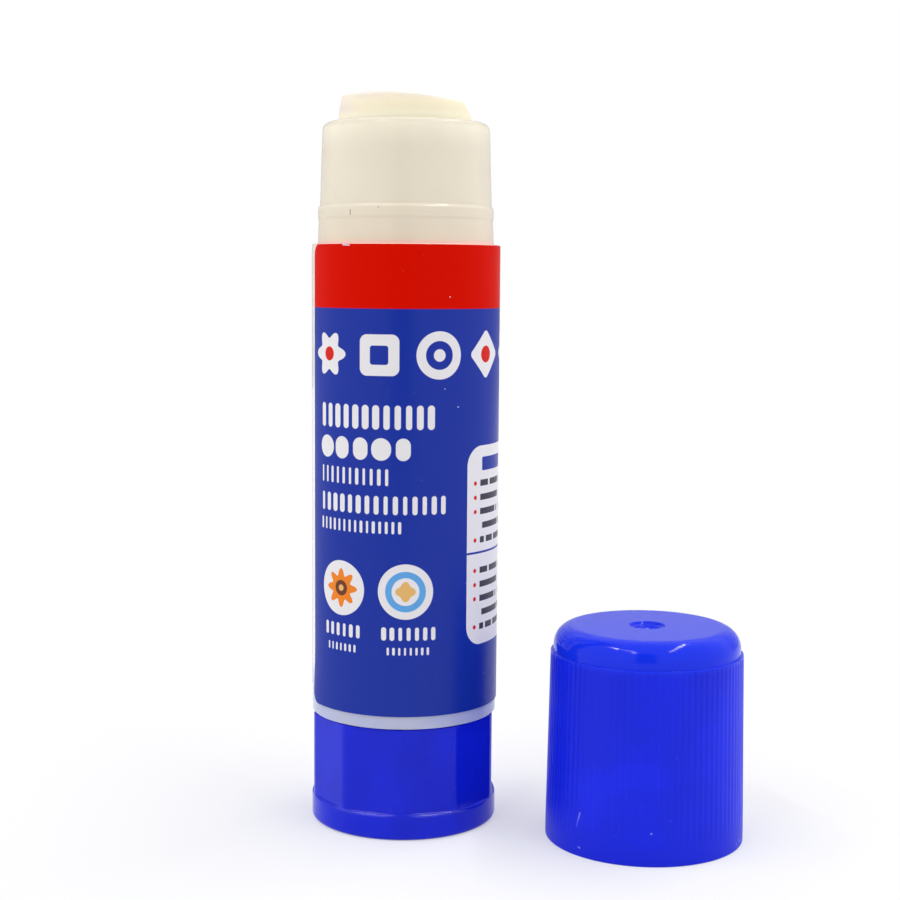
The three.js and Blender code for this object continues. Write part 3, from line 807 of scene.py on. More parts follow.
# Heights over which the cap darkens towards its mouth: painted shade
PAINTED_MOUTH_SHADE = (4.0, 0.5)
LEDGE_FADE = 0.1
LEDGE_BESIDE = (0.8, 1.8)
LEDGE_FRONT = (-6.8, -8.3)
LEDGE_GLOSS = 0.75
LEDGE_POLISH = (FLANGE / MM - 0.35, FLANGE / MM + 0.1)


def placed_marks(place, marks):
    """The marks' masks in one."""
    masks = [use_group("placed_mark", place, start=a, end=b, width=width)[0] for a, b, width in marks]
    whole = masks[0]
    for mask in masks[1:]:
        whole = compute("MAXIMUM", whole, mask)
    return whole


def tint_by_height(height, body, tints):
    """A body colour with tints laid over it in turn. Each is the heights at which it starts and is full,
    in millimetres, its share there and its colour."""
    for start, full, share, tint in tints:
        body = blend(remap(height, start, full, 0.0, share), body, tint)
    return body


def natural_material(colours):
    """Uncoloured, slightly translucent plastic: lighter at its thin rim, with painted pink light from the
    red band just over the band, and lavender at the foot, where the blue collar shows through. The rim's
    very edge is darker again: painted shade on its top."""
    material, shader = new_material(
        "milky_plastic", Specular_IOR_Level=0.3, Subsurface_Weight=0.35, Subsurface_Scale=1.5 * MM,
        Subsurface_Radius=(1.0, 0.85, 0.6))
    place = millimetres(material)
    grain, cloud = use_group("surface_grain", place, fine=2.2, broad=0.12)
    rim, shoulder, collar = RIM / MM, SHOULDER / MM, COLLAR_TOP / MM
    body = tint_by_height(split(place)[2], colours.natural, (
        (rim - 3.5, rim, 1.0, colours.natural_rim),
        # painted shade on the rim's very edge
        (rim - 0.9, rim - 0.3, 1.0, PAINTED_RIM_EDGE_SHADE_TINT),
        (shoulder + 6.0, shoulder, 0.5, WARM_TINT),
        # painted pink light from the red band
        (shoulder + 0.6, shoulder, 0.85, PAINTED_RED_BOUNCE_TINT),
        (shoulder - 0.3, shoulder - 0.6, 1.0, COVERED_TINT),
        (collar + 2.0, collar, 1.0, colours.natural_foot),
    ))
    body = blend(remap(cloud, 0.35, 0.7, 0.0, 0.25), body, CLOUD_TINT)
    body = blend(placed_marks(place, NECK_MARKS) * 0.8, body, NECK_SPECK_TINT)
    [lines] = use_group("hairlines", place, turn=0.3, cover=0.76)
    dress(shader, body, vary(cloud, 0.05, 0.11), grain, 0.012 * MM, worn=lines, roughening=0.2, depth=0.4)
    return material


def satin_skirt_and_painted_light(height, top, base, body, deep_dye_and_shade):
    """(share, colour) of the cap: the skirt is satin up to its top; the dome above it is painted paler and
    lighter, as painted light from above, and the skirt is painted darker towards its mouth, as painted
    shade. Heights are in millimetres."""
    satin = remap(height, top, top - SATIN_FADE)
    # The dome gets a paler colour: painted light from above
    painted_dome_light = [min(c * share, 1) for c, share in zip(base, PAINTED_DOME_LIGHT_SHARES)]
    body = blend(satin, painted_dome_light, body)
    # Painted shade: darker towards the mouth
    return satin, blend(remap(height, *PAINTED_MOUTH_SHADE), body, deep_dye_and_shade)


def rubbed_ledge(place, low, high):
    """Where the knob's ledge is rubbed shiny: two patches at the front, one on each side of the middle,
    between two heights in millimetres."""
    x, y, height = split(place)
    level = remap(height, low, low + LEDGE_FADE) * remap(height, high, high - LEDGE_FADE)
    beside = remap(compute("ABSOLUTE", x), *LEDGE_BESIDE)
    return level * (beside * remap(y, *LEDGE_FRONT, 0.0, LEDGE_GLOSS))


def blue_material(name, base, marks, satin_top=None, polished=None):
    """Glossy dyed plastic with a faint cloud in the dye, hairline scratches and a few pale nicks; the
    knob's one mark is a painted highlight along a corner. It may have a satin skirt up to a height, with
    painted light on the dome above it and painted shade towards the mouth, and a rubbed ledge between two
    heights, in millimetres."""
    material, shader = new_material(
        name, Specular_IOR_Level=0.17, Subsurface_Weight=0.08, Subsurface_Scale=0.8 * MM,
        Subsurface_Radius=(0.3, 0.4, 1.0), Coat_Roughness=0.07)
    place = millimetres(material)
    grain, cloud = use_group("surface_grain", place, fine=1.6, broad=0.16)
    deep_dye_and_shade = [c * DEEP_DYE_AND_SHADE_SHARE for c in base]
    body = blend(vary(cloud, 0.0, 1.0), base, deep_dye_and_shade)
    roughness = vary(cloud, 0.04, 0.1)
    if satin_top:
        satin, body = satin_skirt_and_painted_light(split(place)[2], satin_top, base, body, deep_dye_and_shade)
        roughness = satin * SATIN_ROUGHNESS + roughness
    if polished:
        plug(shader.inputs["Coat Weight"], rubbed_ledge(place, *polished))
    [lines] = use_group("hairlines", place, turn=0.35, cover=0.785)
    worn = compute("MAXIMUM", lines * 0.22, placed_marks(place, marks) * 0.6)
    # Pale scratches and nicks; on the knob this also paints a highlight along a corner
    body = blend(worn, body, BLUE_WEAR_AND_HIGHLIGHT_TINT)
    dress(shader, body, roughness, grain, 0.008 * MM, worn=worn, roughening=0.35, depth=0.8)
    return material


def inner_material(base):
    """Uncoloured moulded plastic of the parts inside, a little duller than the barrel."""
    material, shader = new_material("white_plastic", Specular_IOR_Level=0.4)
    grain, cloud = use_group("surface_grain", millimetres(material), fine=2.8, broad=0.2)
    body = blend(remap(cloud, 0.35, 0.7), base, INNER_CLOUD_TINT)
    dress(shader, body, vary(grain, 0.32, 0.46), grain, 0.015 * MM)
    return material


def glue_material(colours):
    """Waxy glue: a warm body with painted light near the rim, paler where it dries on top and at the left,
    with drag marks across the rubbed end and small pits."""
    material, shader = new_material(
        "glue_core", Specular_IOR_Level=0.24, Subsurface_Weight=0.5, Subsurface_Scale=2.0 * MM,
        Subsurface_Radius=(1.0, 0.8, 0.45))
    place = millimetres(material)
    x, _, height = split(place)
    top, rim, radius = GLUE_HIGH.z / MM, RIM / MM, GLUE_RADIUS / MM
    grain, cloud = use_group("surface_grain", place, fine=1.3, broad=0.3)
    dry = remap(height, top - 1.5, top + 0.1, 0.0, 0.85)
    left = remap(x, -radius * 0.55, -radius, 0.0, 0.6)
    patchy = compute("MAXIMUM", dry, left) * remap(cloud, 0.25, 0.6, 0.5, 1.0)
    body = blend(patchy, colours.glue, colours.dry_glue)
    # Painted light: the glue is lighter near the rim, against the rim's shade
    body = blend(remap(height, rim + 1.3, rim + 0.1), body, PAINTED_GLUE_RIM_LIGHT_TINT)
    drag = noise(place * (0.35, 2.6, 0.8), 1.1, 4.0)
    [pits] = use_group("specks", place, density=0.9, size=0.3, share=0.3)
    dress(shader, body, vary(drag, 0.38, 0.55), pits * -0.5 + (drag * 0.7 + grain), 0.03 * MM)
    return material


# The label's print, in millimetres: across from the front of the label, and up from its lower edge
BAND_FOOT = 43.8
FRIEZE = {"height": 38.9, "first": -9.1, "step": 6.55, "count": 9, "radius": 2.55}
PILL_ROWS = (  # left, middle up, pitch, count, half height, fill
    (-10.7, 32.3, 1.2, 12, 1.3, 0.7),
    (-10.7, 28.9, 2.4, 5, 1.2, 1.0),
    (-10.7, 25.9, 0.86, 11, 0.9, 0.48),
    (-10.7, 22.9, 1.05, 15, 1.0, 0.64),
    (-10.7, 20.5, 0.72, 15, 0.66, 0.52),
    (-9.9, 9.0, 0.9, 6, 0.72, 0.62), (-9.4, 7.1, 0.62, 7, 0.42, 0.5),
    (-2.4, 9.0, 0.9, 7, 0.72, 0.62), (-1.8, 7.1, 0.62, 8, 0.42, 0.5),
)
FIRST_PILL_SEED = 3.0
PICTURE_RADIUS = 3.0
PICTURE_PLACES = ((-7.2, 13.6), (0.4, 13.6))
PANEL = {"left": 7.6, "right": 33.6, "low": 7.1, "high": 29.0, "corner": 2.2}
PANEL_RULE = 17.3
PANEL_ROWS = {"pitch": 1.56, "ink": 0.44, "cell": 0.4}
PANEL_TEXT_ROWS = 5
PANEL_TEXT_LEFT = 2.1  # from the panel's left edge
PANEL_TEXT_MARGINS = 3.4
PANEL_FOOT_MARGIN = 1.2
PANEL_RULE_MARGIN = 0.6
BULLET = {"left": 1.25, "radius": 0.24}
ROW_WITHOUT_BULLET = 1
HEADING_BARS = ((12.6, 27.0, 2.6, 0.75), (19.4, 27.0, 3.4, 0.75), (26.1, 27.0, 2.4, 0.75))
BACK_RINGS = ((41.0, 29.2), (41.0, 20.4), (41.0, 11.6))


def box(x, y, half_x, half_y, ink, round_by=0.25, turn=0.0):
    """A printed box."""
    return "printed_box", ink, {
        "middle": (x, y, 0), "half": (half_x, half_y, 0), "corner": round_by, "turn": turn}


def disc(x, y, radius, ink, petals=5.0, depth=0.0):
    """A printed disc, or a flower where depth is more than 0."""
    return "printed_petals", ink, {"middle": (x, y, 0), "radius": radius, "petals": petals, "depth": depth}


def frieze_shapes(c):
    """A row of stars, squares, rings and diamonds in turn."""
    shapes = []
    r, y = FRIEZE["radius"], FRIEZE["height"]
    for i in range(FRIEZE["count"]):
        x = FRIEZE["first"] + i * FRIEZE["step"]
        shapes += (
            [disc(x, y, r * 0.82, c.print_white, 6.0, 0.2), disc(x, y, r * 0.3, c.band)],
            [box(x, y, r * 0.86, r * 0.86, c.print_white, 0.8), box(x, y, r * 0.4, r * 0.4, c.field, 0.3)],
            [disc(x, y, r, c.print_white), disc(x, y, r * 0.6, c.field),
             disc(x, y, r * 0.26, c.print_white)],
            [box(x, y, r * 0.76, r * 0.76, c.print_white, 0.5, math.pi / 4), disc(x, y, r * 0.36, c.band)],
        )[i % 4]
    return shapes


def picture_shapes(c):
    """Two discs with a petalled flower and a quatrefoil, and the rings on the label's back."""
    (x, y), (next_x, next_y) = PICTURE_PLACES
    shapes = [
        disc(x, y, PICTURE_RADIUS, c.print_white),
        disc(x, y, 1.75, c.orange, 8.0, 0.22),
        disc(x, y, 0.85, c.brown),
        disc(x, y, 0.35, c.tan),
        disc(next_x, next_y, PICTURE_RADIUS, c.print_white),
        disc(next_x, next_y, 2.2, c.sky),
        disc(next_x, next_y, 1.5, c.print_white),
        disc(next_x, next_y, 0.95, c.tan, 4.0, 0.16),
    ]
    for x, y in BACK_RINGS:
        shapes += [
            disc(x, y, 2.6, c.print_white), disc(x, y, 1.9, c.field), disc(x, y, 0.8, c.sky, 5.0, 0.15)]
    return shapes


def panel_shapes(c):
    """A white panel with a rule, heading bars, and two blocks of rows of dashes with bullets."""
    left, right, low, high = (PANEL[side] for side in ("left", "right", "low", "high"))
    middle, half = (left + right) / 2, (right - left) / 2
    shapes = [
        box(middle, (low + high) / 2, half, (high - low) / 2, c.print_white, PANEL["corner"]),
        box(middle, PANEL_RULE, half, 0.12, c.field, 0.05),
        *(box(*bar, c.field, 0.2) for bar in HEADING_BARS),
    ]
    pitch = PANEL_ROWS["pitch"]
    for foot in (low + PANEL_FOOT_MARGIN, PANEL_RULE + PANEL_RULE_MARGIN):
        shapes.append(("printed_rows", c.ink, {
            "low": (left + PANEL_TEXT_LEFT, foot, 0), "width": right - left - PANEL_TEXT_MARGINS,
            "height": PANEL_TEXT_ROWS * pitch, **PANEL_ROWS}))
        shapes += [
            disc(left + BULLET["left"], foot + (i + 0.5) * pitch, BULLET["radius"], c.band)
            for i in range(PANEL_TEXT_ROWS) if i != ROW_WITHOUT_BULLET]
    return shapes


def print_shapes(c):
    """The label's printed shapes in the order in which they are laid down: (group, colour, inputs)."""
    pills = [("printed_pills", c.print_white, {
        "start": (x, y, 0), "pitch": pitch, "count": count, "rise": rise, "fill": fill,
        "seed": FIRST_PILL_SEED + i,
    }) for i, (x, y, pitch, count, rise, fill) in enumerate(PILL_ROWS)]
    return frieze_shapes(c) + pills + picture_shapes(c) + panel_shapes(c)


def label_material(colours):
    """Printed film: a red band over a blue field, with plain shapes and rows of dashes laid down in
    turn, a satin gloss, and the film's own faint waviness."""
    material, shader = new_material("label_film", Specular_IOR_Level=0.02, Coat_Roughness=0.3)
    film = Field(add_node(material.node_tree, "ShaderNodeUVMap", uv_map="film").outputs["UV"])
    place = millimetres(material)
    grain, cloud = use_group("surface_grain", place, fine=0.7, broad=0.1)
    in_band = printed_edge(BAND_FOOT - split(film)[1])
    body = blend(in_band, colours.field, colours.band)
    for group, ink, inputs in print_shapes(colours):
        [mask] = use_group(group, film, **inputs)
        body = blend(mask, body, ink)
    [lines] = use_group("hairlines", place, turn=1.2, cover=0.78)
    [specks] = use_group("specks", place, density=0.45, size=0.09, share=0.08)
    worn = compute("MAXIMUM", lines * 0.15, specks * 0.5)
    worn = compute("MAXIMUM", worn, placed_marks(place, LABEL_MARKS) * 0.85)
    plug(shader.inputs["Coat Weight"], in_band * -0.3 + 0.3)
    dress(shader, blend(worn, body, LABEL_WEAR_TINT), vary(cloud, 0.26, 0.36), grain, 0.02 * MM)
    return material


# Pieces


def neck_rows(bead_rise):
    """The neck's outside from the shoulder to the foot of the rim's rounding: a slight taper, and the
    bead, whose flanks are eased curves."""
    middle = SHOULDER + BEAD_HEIGHT
    crest = NECK + bead_rise
    above = NECK - NECK_STEP
    return [
        corner(NECK_FOOT, SHOULDER),
        ease(NECK, middle - BEAD_HALF, crest, middle - BEAD_LAND_HALF),
        ease(crest, middle + BEAD_LAND_HALF, above, middle + BEAD_HALF),
    ]


def barrel_grid(sizes):
    """The barrel's wall: a closed profile, whose bore steps out to a second radius in the keyways."""
    plain = even_angles(BARREL_COLUMNS) + TURN / BARREL_COLUMNS / 2
    angles, in_key = slotted_angles(plain, KEY_ANGLES, math.asin((KEY_HALF + RUN_GAP) / BORE))
    groove_foot, groove_top = (SNAP_MIDDLE + way * (SNAP_HALF + RUN_GAP) for way in (-1, 1))
    foot = BARREL_FOOT - FOOT_DROP
    keyed = np.where(in_key, BORE + KEYWAY_DEPTH, BORE)
    grooved = np.maximum(keyed, BORE + SNAP_DEPTH)
    mouth = keyed + BORE_CHAMFER * ~in_key
    profile = outline(
        (mouth, foot),
        rounded(BARREL_RADIUS, foot, FINE_EDGE, -90, 0),
        rounded(BARREL_RADIUS, SHOULDER, FINE_EDGE, 0, 90, 5),
        *neck_rows(sizes.bead_rise),
        rounded(RIM_RADIUS, RIM, sizes.rim_edge, 0, 90, 10),
        rounded(BORE, RIM, FINE_EDGE, 90, 180, 4),
        (BORE, RIM - KEYWAY_END),
        (keyed, RIM - KEYWAY_END),
        (keyed, groove_top),
        (grooved, groove_top),
        (grooved, groove_foot),
        (keyed, groove_foot),
        (keyed, foot + BORE_CHAMFER),
        (mouth, foot),
    )
    return around(profile[:-1], angles)


def label_grid(lift):
    """(grid, film coordinates) of the label's outer face: a cylinder's part, whose columns stop short
    near its ends by 1 - sqrt(1 - t^2) of a corner's radius. Its lower left corner stands off a little."""
    wrap = TURN * LABEL_OUTER - LABEL_SEAM
    bend = LABEL_CORNER * (1 - np.cos(np.linspace(0, TURN / 4, BEND_COLUMNS)))
    plain = np.linspace(LABEL_CORNER, wrap - LABEL_CORNER, LABEL_COLUMNS)[1:-1]
    along = np.concatenate([bend, plain, wrap - bend[::-1]])
    from_end = np.clip(LABEL_CORNER - np.minimum(along, wrap - along), 0, None)
    cut = LABEL_CORNER - np.sqrt(np.maximum(LABEL_CORNER**2 - from_end**2, 0))
    bottom, top = LABEL_LOW.z - LABEL_DROP + cut, LABEL_HIGH.z - cut
    even = np.linspace(FIRST_EVEN_ROW, 1 - FIRST_EVEN_ROW, LABEL_ROWS)
    share = np.concatenate([[0, ROW_BY_EDGE], even, [1 - ROW_BY_EDGE, 1]])
    height = bottom + (top - bottom) * share[:, None]
    angles = LABEL_FIRST_EDGE + along / LABEL_OUTER
    loose = np.exp(-(along / LOOSE_LENGTH) ** 2 - ((height - LABEL_LOW.z) / LOOSE_HEIGHT) ** 2)
    film = side_by_side(angles * LABEL_OUTER / MM, (height - LABEL_LOW.z) / MM)
    return around(side_by_side(LABEL_OUTER + lift * loose, height), angles), film


def flat_sided(angles, flat, count, first, rounding):
    """Radius of a prism with flat sides and rounded corners: flat / cos(a) on a side, and on a corner
    d cos(b) + sqrt(rounding^2 - d^2 sin(b)^2), where d is the distance of the rounding's middle."""
    half = TURN / count / 2
    from_corner = (angles - first + half) % (2 * half) - half
    from_middle = half - np.abs(from_corner)
    middle = (flat - rounding) / math.cos(half)
    inside = np.maximum(rounding**2 - (middle * np.sin(from_corner)) ** 2, 0)
    on_corner = middle * np.cos(from_corner) + np.sqrt(inside)
    touch = math.atan2(rounding * math.sin(half), middle + rounding * math.cos(half))
    return np.where(np.abs(from_corner) < touch, on_corner, flat / np.cos(from_middle))


def rib_warp(angles, edge, half):
    """Column angles moved evenly within the room beside each rib, so that the double columns at its
    edges lie at a given half angle."""
    span = TURN / RIB_COUNT / 2
    off = (angles - FIRST_CORNER + span) % (2 * span) - span
    near = np.abs(off)
    moved = np.where(near <= edge, near * half / edge, half + (near - edge) * (span - half) / (span - edge))
    return angles - off + np.sign(off) * moved


def knob_angles(edge):
    """Column angles, close together at each of the knob's corners, and which lie in a rib."""
    sector = TURN / KNOB_FLATS
    near = np.radians(np.linspace(-CORNER_REACH, CORNER_REACH, CORNER_COLUMNS))
    plain = np.concatenate([near, np.linspace(near[-1], sector + near[0], CORNER_COLUMNS)[1:-1]])
    corners = FIRST_CORNER + sector * np.arange(KNOB_FLATS)
    ribs = FIRST_CORNER + TURN / RIB_COUNT * np.arange(RIB_COUNT)
    return slotted_angles((corners[:, None] + plain).ravel(), ribs, edge)


def knob_underside(angles, in_rib, rib_edge):
    """(profile, column angles of each row) of the knob's hollow: its hub, its ribs and the pocket
    between them. The angles keep each rib's sides straight."""
    hub = (SOCKET_FLAT + PRESS_GAP) / math.cos(TURN / 12) + HUB_WALL
    pocket = KNOB_RADIUS * math.cos(TURN / KNOB_FLATS / 2) - KNOB_WALL
    ceiling = np.where(in_rib, RIB_FOOT, DECK - KNOB_DECK_THICKNESS)
    profile = outline((0, 0), (hub, 0), (hub, ceiling), (pocket, ceiling), (pocket, 0))
    half_angles = [math.asin(RIB_HALF / max(row[0, 0], hub)) for row in profile]
    return profile, [rib_warp(angles, rib_edge, half) for half in half_angles]


def knob_outside(angles, sizes):
    """The knob's profile from the round flange up the ten flats, whose corners lie on the flange's
    radius, over the deck and the snap collar, and down the hexagonal socket."""
    half = TURN / KNOB_FLATS / 2
    flat = KNOB_RADIUS * math.cos(half - CORNER_ARC / 2)
    rounding = (flat / math.cos(half) - KNOB_RADIUS) / (1 / math.cos(half) - 1)
    side = flat_sided(angles, flat, KNOB_FLATS, FIRST_CORNER, rounding)
    ledge = KNOB_RADIUS - side
    flange_edge = np.minimum(sizes.flange_edge, FLANGE_EDGE_SHARE * ledge)
    fillet = np.minimum(FLAT_FILLET, FLAT_FILLET_SHARE * ledge)
    socket = flat_sided(angles, SOCKET_FLAT + PRESS_GAP, 6, 0, HEXAGON_EDGE)
    bead = COLLAR_RADIUS + SNAP_DEPTH
    deck = DECK + DECK_RISE
    return outline(
        rounded(KNOB_RADIUS, 0, FLANGE_LOWER_EDGE, -90, 0),
        rounded(KNOB_RADIUS, FLANGE, flange_edge, 0, 90, 6),
        rounded(side, FLANGE, fillet, 270, 180, 4),
        rounded(side, deck, sizes.deck_edge, 0, 90, 6),
        (COLLAR_RADIUS + RUN_GAP, deck),
        (COLLAR_RADIUS, DECK),
        (COLLAR_RADIUS, SNAP_MIDDLE - SNAP_HALF),
        (bead, SNAP_MIDDLE - SNAP_HALF),
        (bead, SNAP_MIDDLE),
        (COLLAR_RADIUS, SNAP_MIDDLE + SNAP_HALF),
        rounded(COLLAR_RADIUS, COLLAR_TOP, PLAIN_EDGE, 0, 90, 4),
        rounded(COLLAR_BORE, COLLAR_TOP, PLAIN_EDGE, 90, 180, 4),
        (COLLAR_BORE, DECK),
        (socket, DECK),
        (socket, DECK - SOCKET_DEPTH),
        (0, DECK - SOCKET_DEPTH),
    )


def knob_grid(sizes):
    """The knob as one closed surface: its underside, then its outside and its socket."""
    rib_edge = math.asin(RIB_HALF / KNOB_RADIUS)
    angles, in_rib = knob_angles(rib_edge)
    below, warped = knob_underside(angles, in_rib, rib_edge)
    above = knob_outside(angles, sizes)
    return around(stacked(below, above), np.stack([*warped, *[angles] * len(above)]))


def spindle_grid():
    """The spindle: sections stacked along Z. The foot is a hexagon, then come a disc, a shank and the
    screw, whose section (a round core with one flat-topped tooth) turns left-handed by a turn a lead."""
    angles = even_angles(SPINDLE_COLUMNS)
    hexagon = flat_sided(angles, SOCKET_FLAT, 6, 0, HEXAGON_EDGE)
    foot, disc_foot = SPINDLE_LOW.z, DECK + PRESS_GAP
    disc_top = disc_foot + DISC_HEIGHT
    thread_foot, top = COLLAR_TOP, SPINDLE_HIGH.z
    thread_top = top - TIP_LENGTH
    off = np.abs((angles + TURN / 2) % TURN - TURN / 2)
    crest, root = CREST_HALF / LEAD * TURN, ROOT_HALF / LEAD * TURN
    rise = smooth_step(np.clip((root - off) / (root - crest), 0, 1))
    tooth = THREAD_CORE + (THREAD_CREST - THREAD_CORE) * rise
    levels = np.arange(thread_foot, thread_top, THREAD_STEP)
    lower = outline(
        (0, foot),
        (hexagon - PLAIN_EDGE, foot),
        (hexagon, foot + PLAIN_EDGE),
        (hexagon, disc_foot),
        rounded(DISC_RADIUS, disc_foot, FINE_EDGE, -90, 0, 4),
        rounded(DISC_RADIUS, disc_top, FINE_EDGE, 0, 90, 4),
        (SHANK_RADIUS, disc_top),
        (SHANK_RADIUS, thread_foot - THREAD_RUN_IN),
    )
    screw = stacked(*[(tooth, z) for z in levels])
    tip = outline(ease(np.minimum(tooth, THREAD_CORE), thread_top, THREAD_CORE / 2, top, 6), (0, top))
    turned_to = np.concatenate([
        np.full(len(lower), thread_foot), levels, np.full(len(tip), levels[-1])])
    return around(stacked(lower, screw, tip), angles - turned_to[:, None] / LEAD * TURN)


def glue_grid(sizes):
    """The glue: a core with a blind room for nut and spindle, whose end is the lowest of the cast top,
    a gentle slope to the right and a steep one at the right side, rounded where they meet. Seeded waves
    add the uneven spots of the rubbed end."""
    tip = GLUE_RADIUS - TIP_NARROWING
    top = GLUE_HIGH.z
    shelf = CARRIER_HIGH.z + RUN_GAP
    core = outline(
        (0, SPINDLE_ROOM_TOP),
        (SPINDLE_ROOM_RADIUS, SPINDLE_ROOM_TOP),
        (SPINDLE_ROOM_RADIUS, NUT_ROOM_TOP),
        (NUT_ROOM_RADIUS, NUT_ROOM_TOP),
        (NUT_ROOM_RADIUS, GLUE_LOW.z),
        (GLUE_FOOT_RADIUS, GLUE_LOW.z),
        (GLUE_FOOT_RADIUS, shelf),
        rounded(GLUE_RADIUS, shelf, PLAIN_EDGE, -90, 0, 4),
        (GLUE_RADIUS, WORN_FOOT),
    )
    rise = np.linspace(0, 1, WALL_ROWS)[1:, None]
    wall = side_by_side(
        GLUE_RADIUS - TIP_NARROWING * rise**WALL_CURVE,
        WORN_FOOT + (top - GLUE_TOP_EDGE - WORN_FOOT) * rise)
    shoulder = rounded(tip, top, GLUE_TOP_EDGE, 0, 90)[1:]
    rings = np.linspace(1, 0, COVER_RINGS)[1:, None] ** RING_SPACING
    cover = side_by_side((tip - GLUE_TOP_EDGE) * rings, top)
    grid = around(stacked(core, wall, shoulder, cover), even_angles(GLUE_COLUMNS))

    worn = grid[len(core):]
    x, height = worn[..., 0], worn[..., 2]
    slope, side_slope = math.tan(sizes.glue_slope), math.tan(sizes.glue_side_slope)
    drop = softer_min(slope * (x - GLUE_SLOPE_START), np.full_like(x, GLUE_DROP), SLOPE_SOFTNESS)
    side = top - side_slope * (x - (GLUE_RADIUS - GLUE_SIDE_START))
    end = softer_min(top - drop.clip(0, None), side, SIDE_SOFTNESS)
    spots = waves(worn, BROAD_SPOTS, BROAD_SPOTS_SEED)
    spots += FINE_SPOTS_SHARE * waves(worn, FINE_SPOTS, FINE_SPOTS_SEED)
    fade = np.clip((height - WORN_FOOT) / (top - WORN_FOOT), 0, 1)
    height = softer_min(height, end, WORN_SOFTNESS) + sizes.wax_ripple * spots * fade
    worn[..., 2] = np.minimum(height, top)
    worn[-1, :, 2] = worn[-1, :, 2].mean()
    return grid


def cap_inside(dome_edge):
    """The cap's profile from the middle of its roof's underside out over the seal ring, down the bore
    past the catch, and round the mouth to the band below the ribs."""
    catch_height = BEAD_HEIGHT + BEAD_HALF + CATCH_DEPTH
    catch = NECK - NECK_STEP + CATCH_GAP
    mouth = CAP_BORE + MOUTH_STEP
    return outline(
        (0, ROOF),
        (BORE, ROOF),
        rounded(BORE, SEAL_FOOT, FINE_EDGE, 180, 270, 4),
        rounded(BORE + SEAL_WALL, SEAL_FOOT, FINE_EDGE, 270, 360, 4),
        (BORE + SEAL_WALL, ROOF),
        rounded(DOME_RADIUS - CAP_WALL, ROOF, dome_edge - ROOF_THICKNESS, 90, 0, 6),
        (SKIRT_UPPER - CAP_WALL, SKIRT_TOP - CAP_WALL),
        ease(catch + CATCH_DEPTH, catch_height + 2 * CATCH_DEPTH, catch, catch_height + CATCH_DEPTH, 4),
        ease(catch, catch_height - CATCH_DEPTH, CAP_BORE, catch_height - 2 * CATCH_DEPTH, 4),
        (CAP_BORE, MOUTH_STEP_HIGH),
        (mouth, MOUTH_STEP_LOW),
        (mouth, 0),
        rounded(CAP_RADIUS, 0, PLAIN_EDGE, -90, 0, 6),
        (CAP_RADIUS, MOUTH_BAND - EDGE_HOLD),
    )


def cap_grid(sizes):
    """The cap as one closed surface: its inside, the ribbed skirt, and the dome to the gate mark in the
    dimple. A rib's radius is crest - depth ((1 - cos(n a)) / 2)^1.5, where the depth varies in seeded
    waves round the cap."""
    ribs = sizes.cap_ribs
    angles = even_angles(RIB_COLUMNS * ribs)
    circle = side_by_side(np.sin(angles), np.cos(angles))
    depth = sizes.rib_depth * (1 + RIB_UNEVENNESS * waves(circle, RIB_WAVE_SIZE, RIB_WAVE_SEED))
    valley = depth * ((1 - np.cos(ribs * angles)) / 2) ** RIB_SHARPNESS

    def ribbed(height):
        """Radius of the skirt at a height: the taper, less the valleys, which fade in over the band."""
        above = height - MOUTH_BAND
        crest = CAP_RADIUS - CAP_TAPER * above / (SKIRT_TOP - MOUTH_BAND)
        return crest - valley * smooth_step(np.clip(above / RIB_END, 0, 1))

    levels = [MOUTH_BAND + (SKIRT_TOP - LIP_EDGE - MOUTH_BAND) * share for share in SKIRT_ROWS]
    skirt = stacked(*[(ribbed(z), z) for z in levels])
    dimple = sizes.dimple_radius
    floor = CAP_TOP - sizes.dimple_depth
    over = outline(
        rounded(ribbed(SKIRT_TOP), SKIRT_TOP, LIP_EDGE, 0, 90, 5),
        rounded(DOME_RADIUS, SKIRT_TOP, DOME_FILLET, 270, 180, 3),
        rounded(DOME_RADIUS, CAP_TOP, sizes.dome_edge, 0, 90, 14),
        rounded(dimple, CAP_TOP, PLAIN_EDGE, 90, 150, 5),
        ease(dimple - DIMPLE_FLANK_TOP, CAP_TOP - PLAIN_EDGE, dimple - DIMPLE_FLANK_FOOT, floor, 6),
        (GATE_FOOT, floor),
        ease(GATE_FLANK_FOOT, floor, GATE_FLANK_TOP, floor + GATE_FLANK_RISE, 4),
        (0, floor + GATE_RISE),
    )
    profile = stacked(cap_inside(sizes.dome_edge), skirt, over)
    return around(profile, angles, middle=(CAP_MIDDLE.x, CAP_MIDDLE.y))


# Stage

FLOOR_HALF = 3.0
FLOOR_FADE = (0.02, 0.11)  # distances from the stick between which the floor turns white
FLOOR_GLOW = 0.4
FRONT_CARD = {"azimuth": -3, "width": 0.16, "distance": 0.36, "grey": 0.02, "in_light": True}
BACK_CARD = {"azimuth": 180, "width": 2.4, "distance": 0.7, "grey": 0.65, "in_light": False}
CARD_HEIGHT = 0.5
LEFT_STRIP = {"start": (-0.094, -0.274, 0.42), "end": (-0.217, 0.016, 0.42), "width": 0.008}
RIGHT_STRIP = {"start": (0.175, -0.25, 0.42), "end": (0.18, 0.234, 0.42), "width": 0.012}
CAMERA_PLACE = (5.05 * MM, -187.76 * MM, 61.3 * MM)
SENSOR_WIDTH = 36  # millimetres, as Blender's cameras have it
NEAREST_SEEN = 0.01


def seen_rays(tree):
    """1 for the rays that show the background to the camera: its own, and glossy and clear ones."""
    rays = add_node(tree, "ShaderNodeLightPath").outputs
    camera, glossy, clear = (
        Field(rays[f"Is {kind} Ray"]) for kind in ("Camera", "Glossy", "Transmission"))
    return compute("MAXIMUM", camera, compute("MAXIMUM", glossy, clear))


